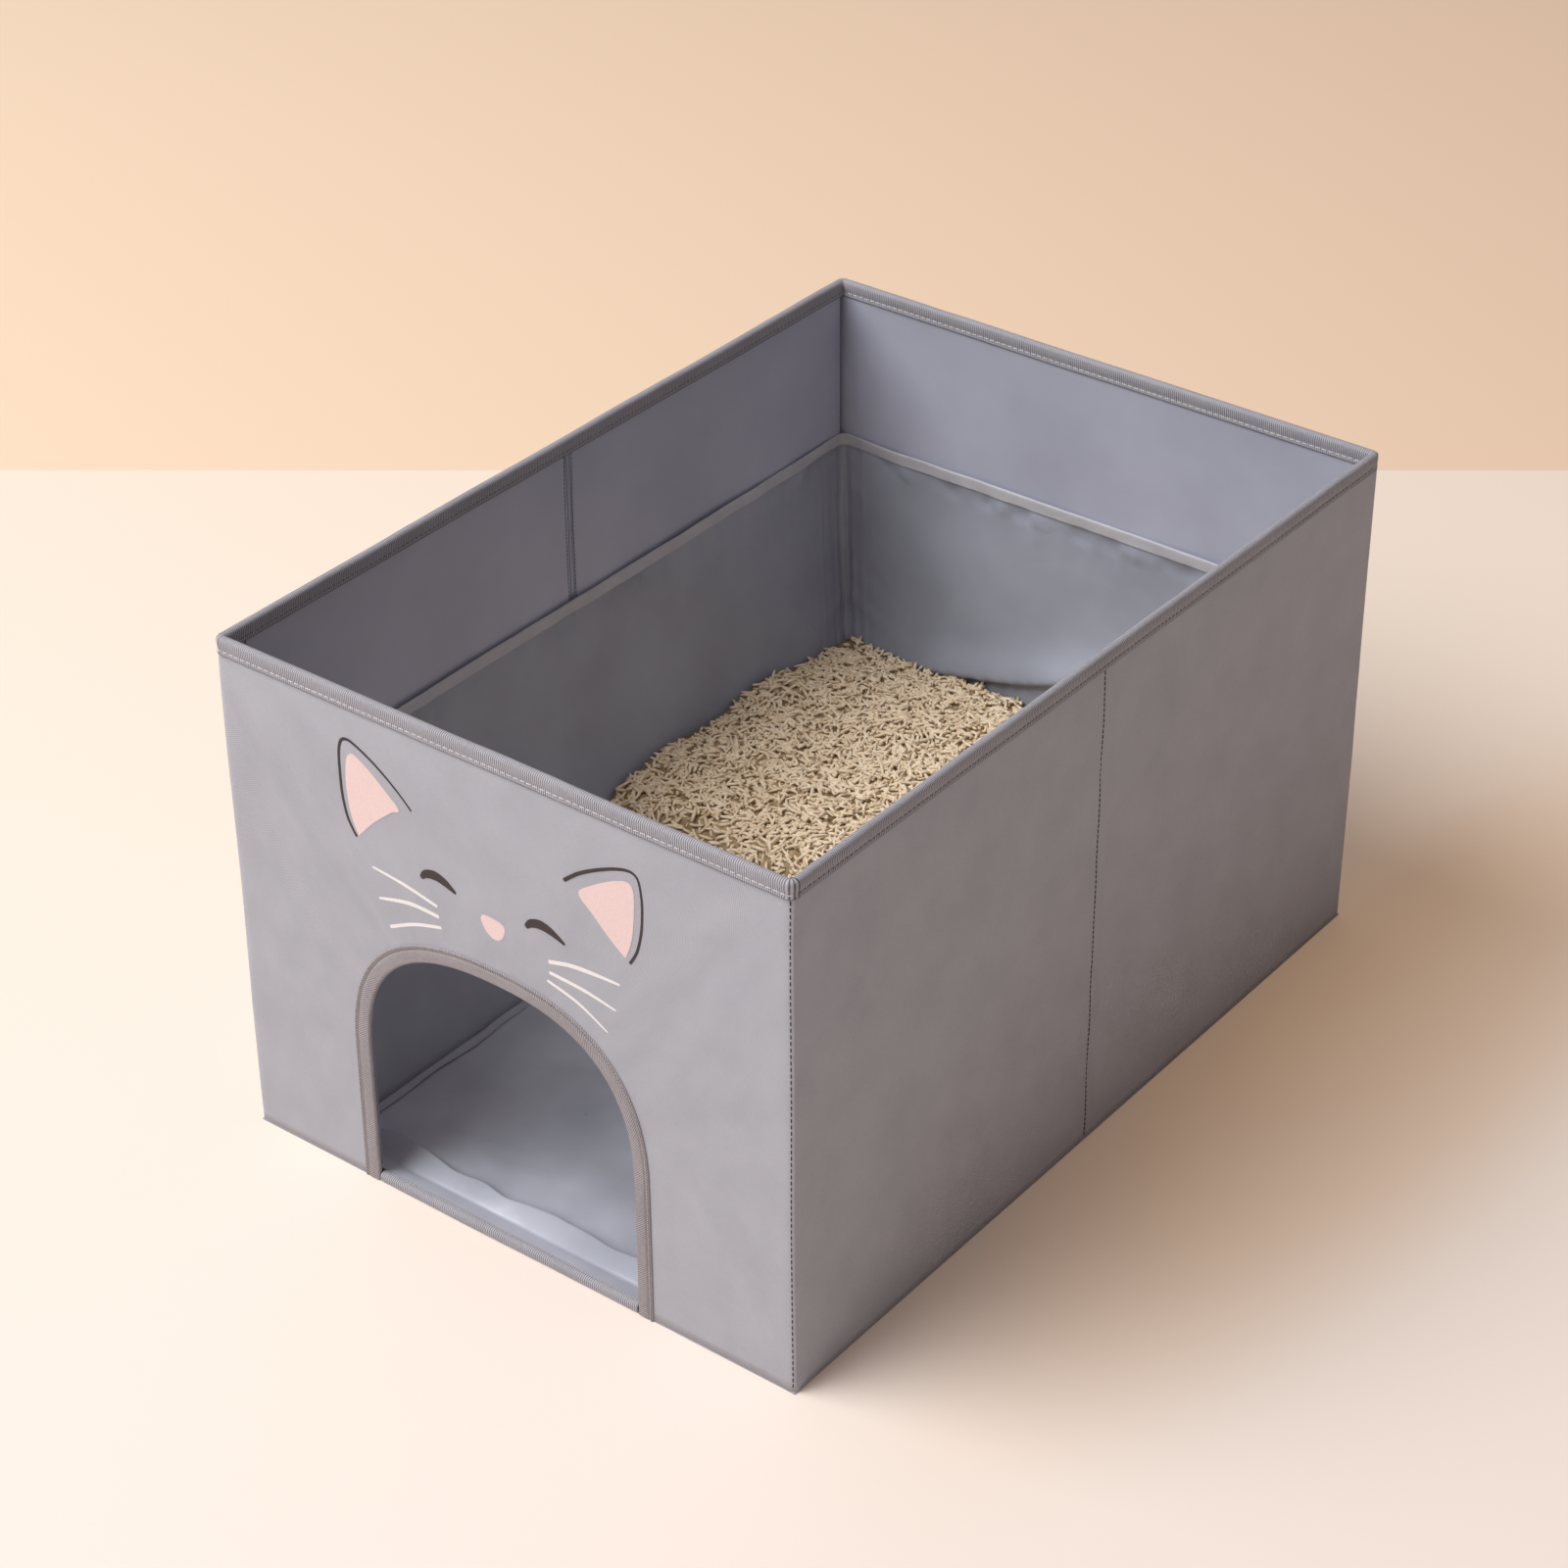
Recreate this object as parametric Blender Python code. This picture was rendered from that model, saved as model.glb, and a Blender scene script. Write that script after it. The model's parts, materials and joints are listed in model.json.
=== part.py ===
"""Foldable litter box: cloth-covered boards, a soft floor, a hanging liner and a bed of pellets.

Metres, +Z up. The origin is at the middle of the base, +X is the right-hand side seen from
the door, and -Y is the front, where the door is.
"""

from math import cos, pi, sin

import bmesh
import bpy

# Overall size, over the rim tapes
overall_length = 0.600
overall_width = 0.420
overall_height = 0.350

# Layers of a wall
skin = 0.0006
board = 0.0024
gap = 0.0003

# Woven tape over the edges
tape = 0.0006
rim_drop = 0.011
rim_round = 0.0012

# Middle fold of a side wall: a stitched band without a board
band = 0.0065
near_room = 0.0030

# Cat door, seen from the front
door_middle = -0.0071
door_half_width = 0.1017
door_top = 0.1923
door_shoulder = 0.0980
door_squareness_share = 2.42
door_tape_width = 0.0116
sill_top = 0.0066
liner_door_margin = 0.0040

# Soft floor and liner
floor_cloth = 0.0008
liner = 0.0006
liner_top = 0.2360
liner_tape_drop = 0.011
liner_loose = 0.0025
liner_lean = 0.0420
liner_lean_power_share = 2.2
sill_fold_height = 0.0090
sill_fold_half_width = 0.0130
sill_fold_from_front = 0.0190

# Bed of pellets
bed_height = 0.0930
bed_crown = 0.0100
bed_toe = -0.0450
bed_slope = 0.0850
bed_edge = 0.0060
bed_mound = 0.0016

overrun = 0.0100
round_steps = 3
arch_steps = 28
liner_rows = 9
bed_columns = 16
bed_rows = 14
mounds_across = 4
mounds_along = 7
fold_steps = 8

standoff = tape + gap
wall = 2 * (skin + gap) + board
cloth_half_length = overall_length / 2 - standoff
cloth_half_width = overall_width / 2 - standoff
inner_half_length = cloth_half_length - wall
inner_half_width = cloth_half_width - wall
wall_bottom = floor_cloth + gap
wall_top = overall_height - standoff

# Folded stack: the left side's two halves lie behind the right side's two halves
fold_standoff = standoff + gap
leaf_pair = 2 * (wall + fold_standoff)
nest_room = 2 * fold_standoff
far_room = near_room + leaf_pair + nest_room
arm = inner_half_length - (near_room + far_room) / 2

LEFT, RIGHT = -1, 1
REAR, FRONT = 1, -1
side_names = {LEFT: "left", RIGHT: "right"}
end_names = {REAR: "rear", FRONT: "front"}


def corner_room(side, end):
    """Free length between an end wall and the side wall's own hinge line."""
    return near_room if side == -end else far_room


def corner_axis(side, end):
    """Plan position of the hinge line where a side wall meets an end wall."""
    return side * inner_half_width, end * (inner_half_length - corner_room(side, end))


def middle_axis(side):
    """Plan position of the fold in the middle of a side wall."""
    x, y = corner_axis(side, REAR)
    return x + side * (wall + fold_standoff), y - arm


def liner_offset(height):
    """Distance of the leaning liner from the wall's inner face at one height."""
    lower_share = max(0.0, 1 - height / liner_top)
    return liner_loose + liner_lean * lower_share**liner_lean_power_share


def material(name, colour, roughness):
    made = bpy.data.materials.new(name)
    made.use_nodes = True
    shader = made.node_tree.nodes["Principled BSDF"]
    shader.inputs["Base Color"].default_value = (*colour, 1)
    shader.inputs["Roughness"].default_value = roughness
    shader.inputs["Metallic"].default_value = 0
    made.diffuse_color = (*colour, 1)
    return made


def finish(name, mesh, look):
    """Recalculates the normals and puts the mesh into the scene under its own name."""
    bmesh.ops.recalc_face_normals(mesh, faces=mesh.faces)
    data = bpy.data.meshes.new(name)
    mesh.to_mesh(data)
    mesh.free()
    made = bpy.data.objects.new(name, data)
    bpy.context.scene.collection.objects.link(made)
    data.materials.append(look)
    return made


def box_mesh(low, high):
    mesh = bmesh.new()
    bmesh.ops.create_cube(mesh, size=1)
    for vertex in mesh.verts:
        vertex.co = [
            (a + b) / 2 + share * (b - a) for a, b, share in zip(low, high, vertex.co)
        ]
    return mesh


def box(name, look, low, high):
    low, high = [min(p) for p in zip(low, high)], [max(p) for p in zip(low, high)]
    return finish(name, box_mesh(low, high), look)


def prism(name, look, outline, shift):
    """Extrudes a flat outline of 3-D points along one vector."""
    mesh = bmesh.new()
    face = mesh.faces.new([mesh.verts.new(point) for point in outline])
    grown = bmesh.ops.extrude_face_region(mesh, geom=[face])["geom"]
    moved = [part for part in grown if isinstance(part, bmesh.types.BMVert)]
    bmesh.ops.translate(mesh, verts=moved, vec=shift)
    return finish(name, mesh, look)


def bridge(mesh, one, other):
    """Fills the strip between two rows of vertices."""
    for i in range(len(one) - 1):
        mesh.faces.new([one[i], one[i + 1], other[i + 1], other[i]])


def enclose(mesh, first, second):
    """Fills two grids of vertices and joins their edges into one closed body."""
    for grid in (first, second):
        for row, above in zip(grid, grid[1:]):
            bridge(mesh, row, above)
    bridge(mesh, first[0], second[0])
    bridge(mesh, first[-1], second[-1])
    for edge in (0, -1):
        bridge(mesh, [row[edge] for row in first], [row[edge] for row in second])


def sheet(name, look, rows, thickness):
    """Closed sheet between a grid of points and the same grid shifted by a vector."""
    mesh = bmesh.new()
    near = [[mesh.verts.new(point) for point in row] for row in rows]
    far = [
        [mesh.verts.new([a + b for a, b in zip(point, thickness)]) for point in row]
        for row in rows
    ]
    enclose(mesh, near, far)
    return finish(name, mesh, look)


def cut(target, cutter):
    cutter.hide_render = True
    cutter.display_type = "WIRE"
    modifier = target.modifiers.new("cut " + cutter.name, "BOOLEAN")
    modifier.operation = "DIFFERENCE"
    modifier.solver = "EXACT"
    modifier.object = cutter


def tape_section(thickness, drop):
    """Half-wall coordinates of an upside-down U of tape: (across, below the top)."""
    inner = thickness / 2 + gap
    outer = inner + tape
    arc = [
        (
            outer - rim_round + rim_round * sin(pi / 2 * k / round_steps),
            -rim_round + rim_round * cos(pi / 2 * k / round_steps),
        )
        for k in range(round_steps + 1)
    ]
    right = [*arc, (outer, -drop), (inner, -drop), (inner, -tape)]
    return right + [(-across, below) for across, below in reversed(right)]


def tape_run(name, look, path, thickness, drop, top):
    """Sweeps the tape's U section along a plan path, with mitred corners."""
    mesh = bmesh.new()
    section = tape_section(thickness, drop)
    rings = []
    for i, (x, y) in enumerate(path):
        before = path[max(i - 1, 0)]
        after = path[min(i + 1, len(path) - 1)]
        steps = [
            (b[0] - a[0], b[1] - a[1])
            for a, b in ((before, (x, y)), ((x, y), after))
            if a != b
        ]
        normals = []
        for dx, dy in steps:
            length = (dx * dx + dy * dy) ** 0.5
            normals.append((dy / length, -dx / length))
        mx = sum(n[0] for n in normals) / len(normals)
        my = sum(n[1] for n in normals) / len(normals)
        size = mx * mx + my * my
        rings.append(
            [
                mesh.verts.new((x + across * mx / size, y + across * my / size, top + below))
                for across, below in section
            ]
        )
    count = len(section)
    for ring, following in zip(rings, rings[1:]):
        for i in range(count):
            j = (i + 1) % count
            mesh.faces.new([ring[i], ring[j], following[j], following[i]])
    mesh.faces.new(rings[0])
    mesh.faces.new(rings[-1])
    return finish(name, mesh, look)


def arch_outline(grow, bottom, y):
    """Outline of the cat door, grown outwards by a margin and closed at a given height."""
    half = door_half_width + grow
    rise = door_top - door_shoulder + grow
    power_share = 2 / door_squareness_share
    points = []
    for k in range(arch_steps + 1):
        turn = pi * k / arch_steps
        c, s = cos(turn), abs(sin(turn))
        side = 1 if c > 0 else -1
        x = door_middle + side * half * abs(c) ** power_share
        z = door_shoulder + rise * s**power_share
        points.append((x, y, z))
    right = (door_middle + half, y, bottom)
    left = (door_middle - half, y, bottom)
    return [right, *points, left]


def arch_cutter(name, look, grow, bottom, y_from, y_to):
    """Solid of the door's shape through a wall, a liner or a board."""
    outline = arch_outline(grow, bottom, y_from)
    return prism(name, look, outline, (0, y_to - y_from, 0))


def end_wall(end, looks):
    """Cover, board, rim tape and corner strips of the front or the rear wall."""
    name = end_names[end]
    outer = end * cloth_half_length
    inner = end * inner_half_length
    cover = box(
        name + "_cover",
        looks["cloth"],
        (-cloth_half_width, inner, wall_bottom),
        (cloth_half_width, outer, wall_top),
    )
    slot_end = cloth_half_width - skin
    slot = box(
        name + "_slot",
        looks["board"],
        (-slot_end, inner + end * skin, wall_bottom + skin),
        (slot_end, outer - end * skin, wall_top + overrun),
    )
    cut(cover, slot)
    board_end = slot_end - gap
    stiffener = box(
        name + "_board",
        looks["board"],
        (-board_end, inner + end * (skin + gap), wall_bottom + skin + gap),
        (board_end, outer - end * (skin + gap), wall_top),
    )
    middle = (inner + outer) / 2
    turn = cloth_half_width - wall / 2
    ends = {side: end * (abs(corner_axis(side, end)[1]) + fold_standoff) for side in (LEFT, RIGHT)}
    path = [(-turn, ends[LEFT]), (-turn, middle), (turn, middle), (turn, ends[RIGHT])]
    tape_run(name + "_rim_tape", looks["tape"], path, wall, rim_drop, overall_height)
    for side in (LEFT, RIGHT):
        face = side * cloth_half_width
        box(
            f"{name}_{side_names[side]}_corner_strip",
            looks["cloth"],
            (face, inner - end * gap, wall_bottom),
            (face - side * skin, ends[side], wall_top),
        )
    return cover, stiffener


def door(cover, stiffener, looks):
    """Cuts the cat door through the front wall and binds its edge."""
    y_out = -cloth_half_length - overrun
    y_in = -inner_half_length + overrun
    sill_edge = sill_top - standoff
    opening = arch_cutter("door_opening", looks["cloth"], standoff, sill_edge, y_out, y_in)
    cut(cover, opening)
    board_opening = arch_cutter(
        "board_opening", looks["board"], standoff + gap, -overrun, y_out, y_in
    )
    cut(stiffener, board_opening)

    front = -cloth_half_length - standoff
    back = -inner_half_length + standoff
    binding = arch_cutter("door_tape", looks["tape"], door_tape_width, wall_bottom, front, back)
    hollow = arch_cutter("door_tape_hollow", looks["tape"], 0, -overrun, y_out, y_in)
    cut(binding, hollow)
    slot = arch_cutter(
        "door_tape_slot",
        looks["tape"],
        door_tape_width + overrun,
        -overrun,
        -cloth_half_length - gap,
        -inner_half_length + gap,
    )
    core = arch_cutter("door_tape_web", looks["tape"], tape, sill_top - tape, y_out, y_in)
    cut(slot, core)
    cut(binding, slot)

    reach = door_half_width - gap
    middle = -(cloth_half_length + inner_half_length) / 2
    tape_run(
        "sill_tape",
        looks["tape"],
        [(door_middle - reach, middle), (door_middle + reach, middle)],
        wall,
        sill_top - wall_bottom,
        sill_top,
    )


def side_half(side, end, looks):
    """Cover, board and rim tape of one half of a long side wall."""
    name = f"{side_names[side]}_{end_names[end]}"
    outer = side * cloth_half_width
    inner = side * inner_half_width
    corner = corner_axis(side, end)[1]
    seam = middle_axis(side)[1] + end * gap
    cover = box(
        name + "_cover",
        looks["cloth"],
        (inner, seam, wall_bottom),
        (outer, corner, wall_top),
    )
    slot = box(
        name + "_slot",
        looks["board"],
        (inner + side * skin, seam + end * (band + skin), wall_bottom + skin),
        (outer - side * skin, corner - end * skin, wall_top + overrun),
    )
    cut(cover, slot)
    recess = box(
        name + "_band_recess",
        looks["cloth"],
        (outer - side * 2 * skin, seam - end * overrun, -overrun),
        (inner - side * overrun, seam + end * band, wall_top + overrun),
    )
    cut(cover, recess)
    box(
        name + "_board",
        looks["board"],
        (inner + side * (skin + gap), seam + end * (band + skin + gap), wall_bottom + skin + gap),
        (outer - side * (skin + gap), corner - end * (skin + gap), wall_top),
    )
    middle = (inner + outer) / 2
    tape_run(
        name + "_rim_tape",
        looks["tape"],
        [(middle, seam), (middle, corner)],
        wall,
        rim_drop,
        overall_height,
    )


def liner_heights(bottom):
    top = liner_top - standoff
    return [bottom + (top - bottom) * k / (liner_rows - 1) for k in range(liner_rows)]


def side_liner(side, end, looks):
    """One half of the liner along a long side, leaning in from its tape to the floor."""
    name = f"liner_{side_names[side]}_{end_names[end]}"
    seam = middle_axis(side)[1] + end * gap
    rows = []
    for z in liner_heights(wall_bottom):
        x = side * (inner_half_width - liner_offset(z))
        room = liner_offset(z) if end == REAR else liner_loose
        y = end * (inner_half_length - room - liner - gap)
        rows.append([(x, seam, z), (x, y, z)])
    sheet(name, looks["liner"], rows, (-side * liner, 0, 0))
    middle = side * (inner_half_width - liner_loose - liner / 2)
    stop = end * (inner_half_length - liner_loose - liner - standoff - gap)
    tape_run(
        name + "_tape",
        looks["satin"],
        [(middle, seam), (middle, stop)],
        liner,
        liner_tape_drop,
        liner_top,
    )


def end_liner_tape(end, looks):
    middle = end * (inner_half_length - liner_loose - liner / 2)
    reach = inner_half_width - liner_loose - liner - standoff - gap
    tape_run(
        f"liner_{end_names[end]}_tape",
        looks["satin"],
        [(-reach, middle), (reach, middle)],
        liner,
        liner_tape_drop,
        liner_top,
    )


def rear_liner(looks):
    rows = []
    for z in liner_heights(wall_bottom):
        y = inner_half_length - liner_offset(z)
        x = inner_half_width - liner_offset(z) - gap
        rows.append([(-x, y, z), (x, y, z)])
    sheet("liner_rear", looks["liner"], rows, (0, -liner, 0))
    end_liner_tape(REAR, looks)


def front_liner(looks):
    """The front panel hangs straight, and is open where the cat door is."""
    y = -(inner_half_length - liner_loose)
    rows = []
    for z in liner_heights(wall_bottom):
        x = inner_half_width - liner_offset(z) - gap
        rows.append([(-x, y, z), (x, y, z)])
    panel = sheet("liner_front", looks["liner"], rows, (0, liner, 0))
    sill = sill_top + gap
    opening = arch_cutter(
        "liner_opening", looks["liner"], liner_door_margin, sill, y - overrun, y + overrun
    )
    cut(panel, opening)
    end_liner_tape(FRONT, looks)


def floor(looks):
    box(
        "floor_cloth",
        looks["cloth"],
        (-cloth_half_width, -cloth_half_length, 0),
        (cloth_half_width, cloth_half_length, floor_cloth),
    )
    reach = inner_half_width - liner_offset(wall_bottom) - liner - gap
    front = -(inner_half_length - liner_loose - liner - gap)
    rear = inner_half_length - liner_offset(wall_bottom) - liner - gap
    crest = front + sill_fold_from_front
    stations = [front]
    for k in range(2 * fold_steps + 1):
        stations.append(crest + sill_fold_half_width * (k - fold_steps) / fold_steps)
    stations.append(rear)
    rows = []
    for y in stations:
        share = min(1.0, abs(y - crest) / sill_fold_half_width)
        z = wall_bottom + sill_fold_height * (1 + cos(pi * share)) / 2
        rows.append([(-reach, y, z), (reach, y, z)])
    sheet("liner_floor", looks["liner"], rows, (0, 0, liner))


def litter_bed(looks):
    """Bed of pellets with low mounds, against the leaning liner and sloping to its toe."""
    bottom = wall_bottom + liner + gap
    mesh = bmesh.new()
    lower, upper = [], []
    for j in range(bed_rows + 1):
        v = j / bed_rows
        along = v * (inner_half_length - bed_toe)
        rise = min(1.0, along / bed_slope)
        swell = rise * rise * (3 - 2 * rise)
        low_row, high_row = [], []
        for i in range(bed_columns + 1):
            u = 2 * i / bed_columns - 1
            crown = bed_crown * cos(pi / 2 * u) * sin(pi * v)
            crown += bed_mound * sin(mounds_across * pi * u) * sin(mounds_along * pi * v)
            top = bottom + bed_edge + (bed_height - bottom - bed_edge) * swell + crown * swell
            for z, row in ((bottom, low_row), (top, high_row)):
                reach = inner_half_width - liner_offset(z) - liner - 2 * gap
                rear = inner_half_length - liner_offset(z) - liner - 2 * gap
                row.append(mesh.verts.new((u * reach, bed_toe + v * (rear - bed_toe), z)))
        lower.append(low_row)
        upper.append(high_row)
    enclose(mesh, lower, upper)
    finish("litter_bed", mesh, looks["pellets"])


def hinge_markers():
    """Empties on the fold lines, by name. The pieces that turn about one hang from it."""
    markers = {}
    for side in (LEFT, RIGHT):
        places = {
            f"{side_names[side]}_rear_fold": corner_axis(side, REAR),
            f"{side_names[side]}_middle_fold": middle_axis(side),
            f"{side_names[side]}_front_fold": corner_axis(side, FRONT),
        }
        for name, (x, y) in places.items():
            marker = bpy.data.objects.new(name, None)
            marker.location = (x, y, 0)
            marker.empty_display_size = near_room
            bpy.context.scene.collection.objects.link(marker)
            markers[name] = marker
    return markers


def hang(marker, prefixes):
    """Parents each piece whose name starts with one of the prefixes, and its cutters."""
    bpy.context.view_layer.update()
    for piece in bpy.data.objects:
        if piece.type == "MESH" and piece.name.startswith(prefixes):
            piece.parent = marker
            piece.matrix_parent_inverse = marker.matrix_world.inverted()


def main():
    for old in list(bpy.data.objects):
        bpy.data.objects.remove(old)
    looks = {
        "cloth": material("grey cloth", (0.30, 0.30, 0.33), 0.75),
        "tape": material("woven tape", (0.18, 0.18, 0.20), 0.80),
        "board": material("stiff board", (0.70, 0.66, 0.58), 0.85),
        "liner": material("liner film", (0.26, 0.28, 0.34), 0.40),
        "satin": material("satin tape", (0.22, 0.23, 0.27), 0.45),
        "pellets": material("pellets", (0.62, 0.50, 0.33), 0.90),
    }
    end_wall(REAR, looks)
    cover, stiffener = end_wall(FRONT, looks)
    door(cover, stiffener, looks)
    for side in (LEFT, RIGHT):
        for end in (REAR, FRONT):
            side_half(side, end, looks)
            side_liner(side, end, looks)
    rear_liner(looks)
    front_liner(looks)
    floor(looks)
    litter_bed(looks)
    markers = hinge_markers()
    hang(markers["left_rear_fold"], ("left_rear", "liner_left_rear"))
    hang(markers["left_middle_fold"], ("left_front", "liner_left_front"))
    hang(markers["right_rear_fold"], ("right_rear", "liner_right_rear"))
    hang(markers["right_middle_fold"], ("right_front", "liner_right_front"))
    front_pieces = ("front_", "liner_front", "door_", "sill_", "board_opening", "liner_opening")
    hang(markers["left_front_fold"], front_pieces)


main()
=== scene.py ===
import json
import math

import bmesh
import bpy
import numpy as np
from mathutils import Matrix, Vector, noise


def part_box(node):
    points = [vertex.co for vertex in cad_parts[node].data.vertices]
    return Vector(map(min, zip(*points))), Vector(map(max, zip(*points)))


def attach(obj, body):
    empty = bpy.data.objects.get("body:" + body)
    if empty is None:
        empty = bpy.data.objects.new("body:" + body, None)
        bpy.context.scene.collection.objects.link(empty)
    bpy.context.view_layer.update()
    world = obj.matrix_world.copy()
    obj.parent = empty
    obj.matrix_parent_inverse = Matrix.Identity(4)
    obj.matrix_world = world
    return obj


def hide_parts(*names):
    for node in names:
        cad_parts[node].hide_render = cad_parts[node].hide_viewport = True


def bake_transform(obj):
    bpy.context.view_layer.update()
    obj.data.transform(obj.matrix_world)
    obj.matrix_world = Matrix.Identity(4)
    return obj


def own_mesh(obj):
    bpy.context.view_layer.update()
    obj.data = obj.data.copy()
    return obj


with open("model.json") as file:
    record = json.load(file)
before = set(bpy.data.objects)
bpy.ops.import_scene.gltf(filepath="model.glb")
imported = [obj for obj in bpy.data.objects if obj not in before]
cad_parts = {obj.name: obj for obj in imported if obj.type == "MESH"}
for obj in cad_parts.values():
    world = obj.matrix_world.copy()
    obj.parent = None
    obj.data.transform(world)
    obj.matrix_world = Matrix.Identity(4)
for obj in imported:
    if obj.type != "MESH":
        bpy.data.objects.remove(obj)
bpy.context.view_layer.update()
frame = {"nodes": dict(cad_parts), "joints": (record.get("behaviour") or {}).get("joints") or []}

mm = 0.001
pi = math.pi


# Sizes that come from the CAD frame

frontLow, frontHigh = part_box("front_cover")
halfWidth = frontHigh.x                      # outer cloth face of the side walls
halfLength = -frontLow.y                     # outer cloth face of the end walls
wallThick = frontHigh.y - frontLow.y
innerWidth = halfWidth - wallThick
innerLength = halfLength - wallThick
wallBottom, wallTop = frontLow.z, frontHigh.z
rimLow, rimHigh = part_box("front_rim_tape")
rimTop, rimDrop = rimHigh.z, rimHigh.z - rimLow.z
midWidth = (halfWidth + innerWidth) / 2      # centre line of a wall's thickness
midLength = (halfLength + innerLength) / 2
halfWall = wallThick / 2
folds = {joint["name"]: Vector(joint["pos_m"]) for joint in frame["joints"]}
leftSide, rightSide, frontEnd, rearEnd = -1, 1, -1, 1
sideNames = {leftSide: "left", rightSide: "right"}
endNames = {frontEnd: "front", rearEnd: "rear"}
seamAt = {leftSide: folds["left_middle_fold"].y, rightSide: folds["right_middle_fold"].y}
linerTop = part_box("liner_rear_tape")[1].z
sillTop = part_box("sill_tape")[1].z


# Camera, floor and light

cameraPlace = {
    "at": Vector((1.20045057, -1.577786, 1.45528324)),
    "right": Vector((0.79115438, 0.61158912, -0.00578764)),
    "up": Vector((-0.32771439, 0.43188462, 0.84028504)),
    "back": Vector((0.51640879, -0.66289849, 0.54211397)),
    "lens": 87.1556,
}


def addObject(name, data):
    made = bpy.data.objects.new(name, data)
    bpy.context.scene.collection.objects.link(made)
    return made


def makeCamera():
    data = bpy.data.cameras.new("photoCamera")
    data.lens = cameraPlace["lens"]
    data.sensor_width = 36
    data.clip_end = 60
    camera = addObject("photoCamera", data)
    axes = [cameraPlace[axis] for axis in ("right", "up", "back")]
    turn = Matrix(axes).transposed().to_4x4()
    camera.matrix_world = Matrix.Translation(cameraPlace["at"]) @ turn
    bpy.context.scene.camera = camera


def operator(operation, swapped=False):
    return lambda wire, other=None: wire.maths(operation, other, swapped)


# One number inside a node tree, with arithmetic that adds Math nodes
class Wire:
    def __init__(self, nodes, socket):
        self.nodes = nodes
        self.socket = socket

    def maths(self, operation, other=None, swapped=False):
        values = [self] if other is None else [self, other]
        if swapped:
            values.reverse()
        made = self.nodes.node(
            "ShaderNodeMath", {"operation": operation}, dict(enumerate(values))
        )
        return Wire(self.nodes, made.outputs[0])

    __add__, __radd__ = operator("ADD"), operator("ADD", True)
    __mul__, __rmul__ = operator("MULTIPLY"), operator("MULTIPLY", True)
    __sub__, __rsub__ = operator("SUBTRACT"), operator("SUBTRACT", True)
    __truediv__ = operator("DIVIDE")
    power = operator("POWER")
    fraction = operator("FRACT")
    absolute = operator("ABSOLUTE")
    sine = operator("SINE")
    exponent = operator("EXPONENT")
    above = operator("GREATER_THAN")
    atLeast = operator("MAXIMUM")
    most = operator("MINIMUM")


# A node tree under construction: one method adds any node
class Nodes:
    def __init__(self, tree):
        self.tree = tree

    def node(self, kind, settings=None, sockets=None):
        made = self.tree.nodes.new(kind)
        for setting, value in (settings or {}).items():
            if setting == "stops":
                self.fillRamp(made.color_ramp, value)
            else:
                setattr(made, setting, value)
        for socket, value in (sockets or {}).items():
            self.feed(made.inputs[socket], value)
        return made

    def feed(self, socket, value):
        if isinstance(value, Wire):
            value = value.socket
        if isinstance(value, bpy.types.NodeSocket):
            self.tree.links.new(value, socket)
        else:
            socket.default_value = value

    def fillRamp(self, ramp, stops):
        while len(ramp.elements) < len(stops):
            ramp.elements.new(0.5)
        for element, (place, colour) in zip(ramp.elements, stops):
            element.position = place
            element.color = colour

    def ramp(self, factor, stops):
        made = self.node("ShaderNodeValToRGB", {"stops": stops}, {"Fac": factor})
        return made.outputs["Color"]

    def vectors(self, operation, first, second):
        return self.node("ShaderNodeVectorMath", {"operation": operation}, {0: first, 1: second})

    def dot(self, first, second):
        return Wire(self, self.vectors("DOT_PRODUCT", first, second).outputs["Value"])

    def split(self, vector):
        parts = self.node("ShaderNodeSeparateXYZ", None, {0: vector})
        return [Wire(self, parts.outputs[axis]) for axis in "XYZ"]


# A material under construction
class Paint(Nodes):
    def __init__(self, name, constants):
        self.material = bpy.data.materials.new(name)
        self.material.use_nodes = True
        super().__init__(self.material.node_tree)
        self.shader = self.tree.nodes["Principled BSDF"]
        for socket, value in constants.items():
            self.shader.inputs[socket].default_value = value

    def noise(self, vector, scale, detail=3.0, roughness=0.5):
        sockets = {"Scale": scale, "Detail": detail, "Roughness": roughness}
        if vector is not None:
            sockets["Vector"] = vector
        return Wire(self, self.node("ShaderNodeTexNoise", None, sockets).outputs["Fac"])

    def surface(self):
        # along and across the cloth, in metres
        point = self.node("ShaderNodeUVMap", {"uv_map": "UVMap"}).outputs["UV"]
        u, v, _ = self.split(point)
        return point, u, v

    def place(self):
        return self.node("ShaderNodeTexCoord").outputs["Object"]

    def stretched(self, vector, scale):
        return self.vectors("MULTIPLY", vector, scale).outputs[0]

    def mixed(self, factor, first, second):
        made = self.node("ShaderNodeMix", {"data_type": "RGBA"}, {0: factor, 6: first, 7: second})
        return made.outputs[2]

    def bump(self, height, distance, strength=1.0, under=None):
        sockets = {"Height": height, "Distance": distance, "Strength": strength}
        if under is not None:
            sockets["Normal"] = under
        return self.node("ShaderNodeBump", None, sockets).outputs["Normal"]

    def wear(self, **links):
        for name, value in links.items():
            self.feed(self.shader.inputs[name.replace("_", " ")], value)
        return self.material


# An sRGB colour as seen on screen, 0 to 255, as the linear one that Blender wants
def tone(red, green, blue, share=1.0):
    linear = []
    for level in (red, green, blue):
        level = level / 255
        low = level / 12.92
        high = ((level + 0.055) / 1.055) ** 2.4
        linear.append(share * (low if level < 0.04045 else high))
    return (*linear, 1.0)


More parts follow.
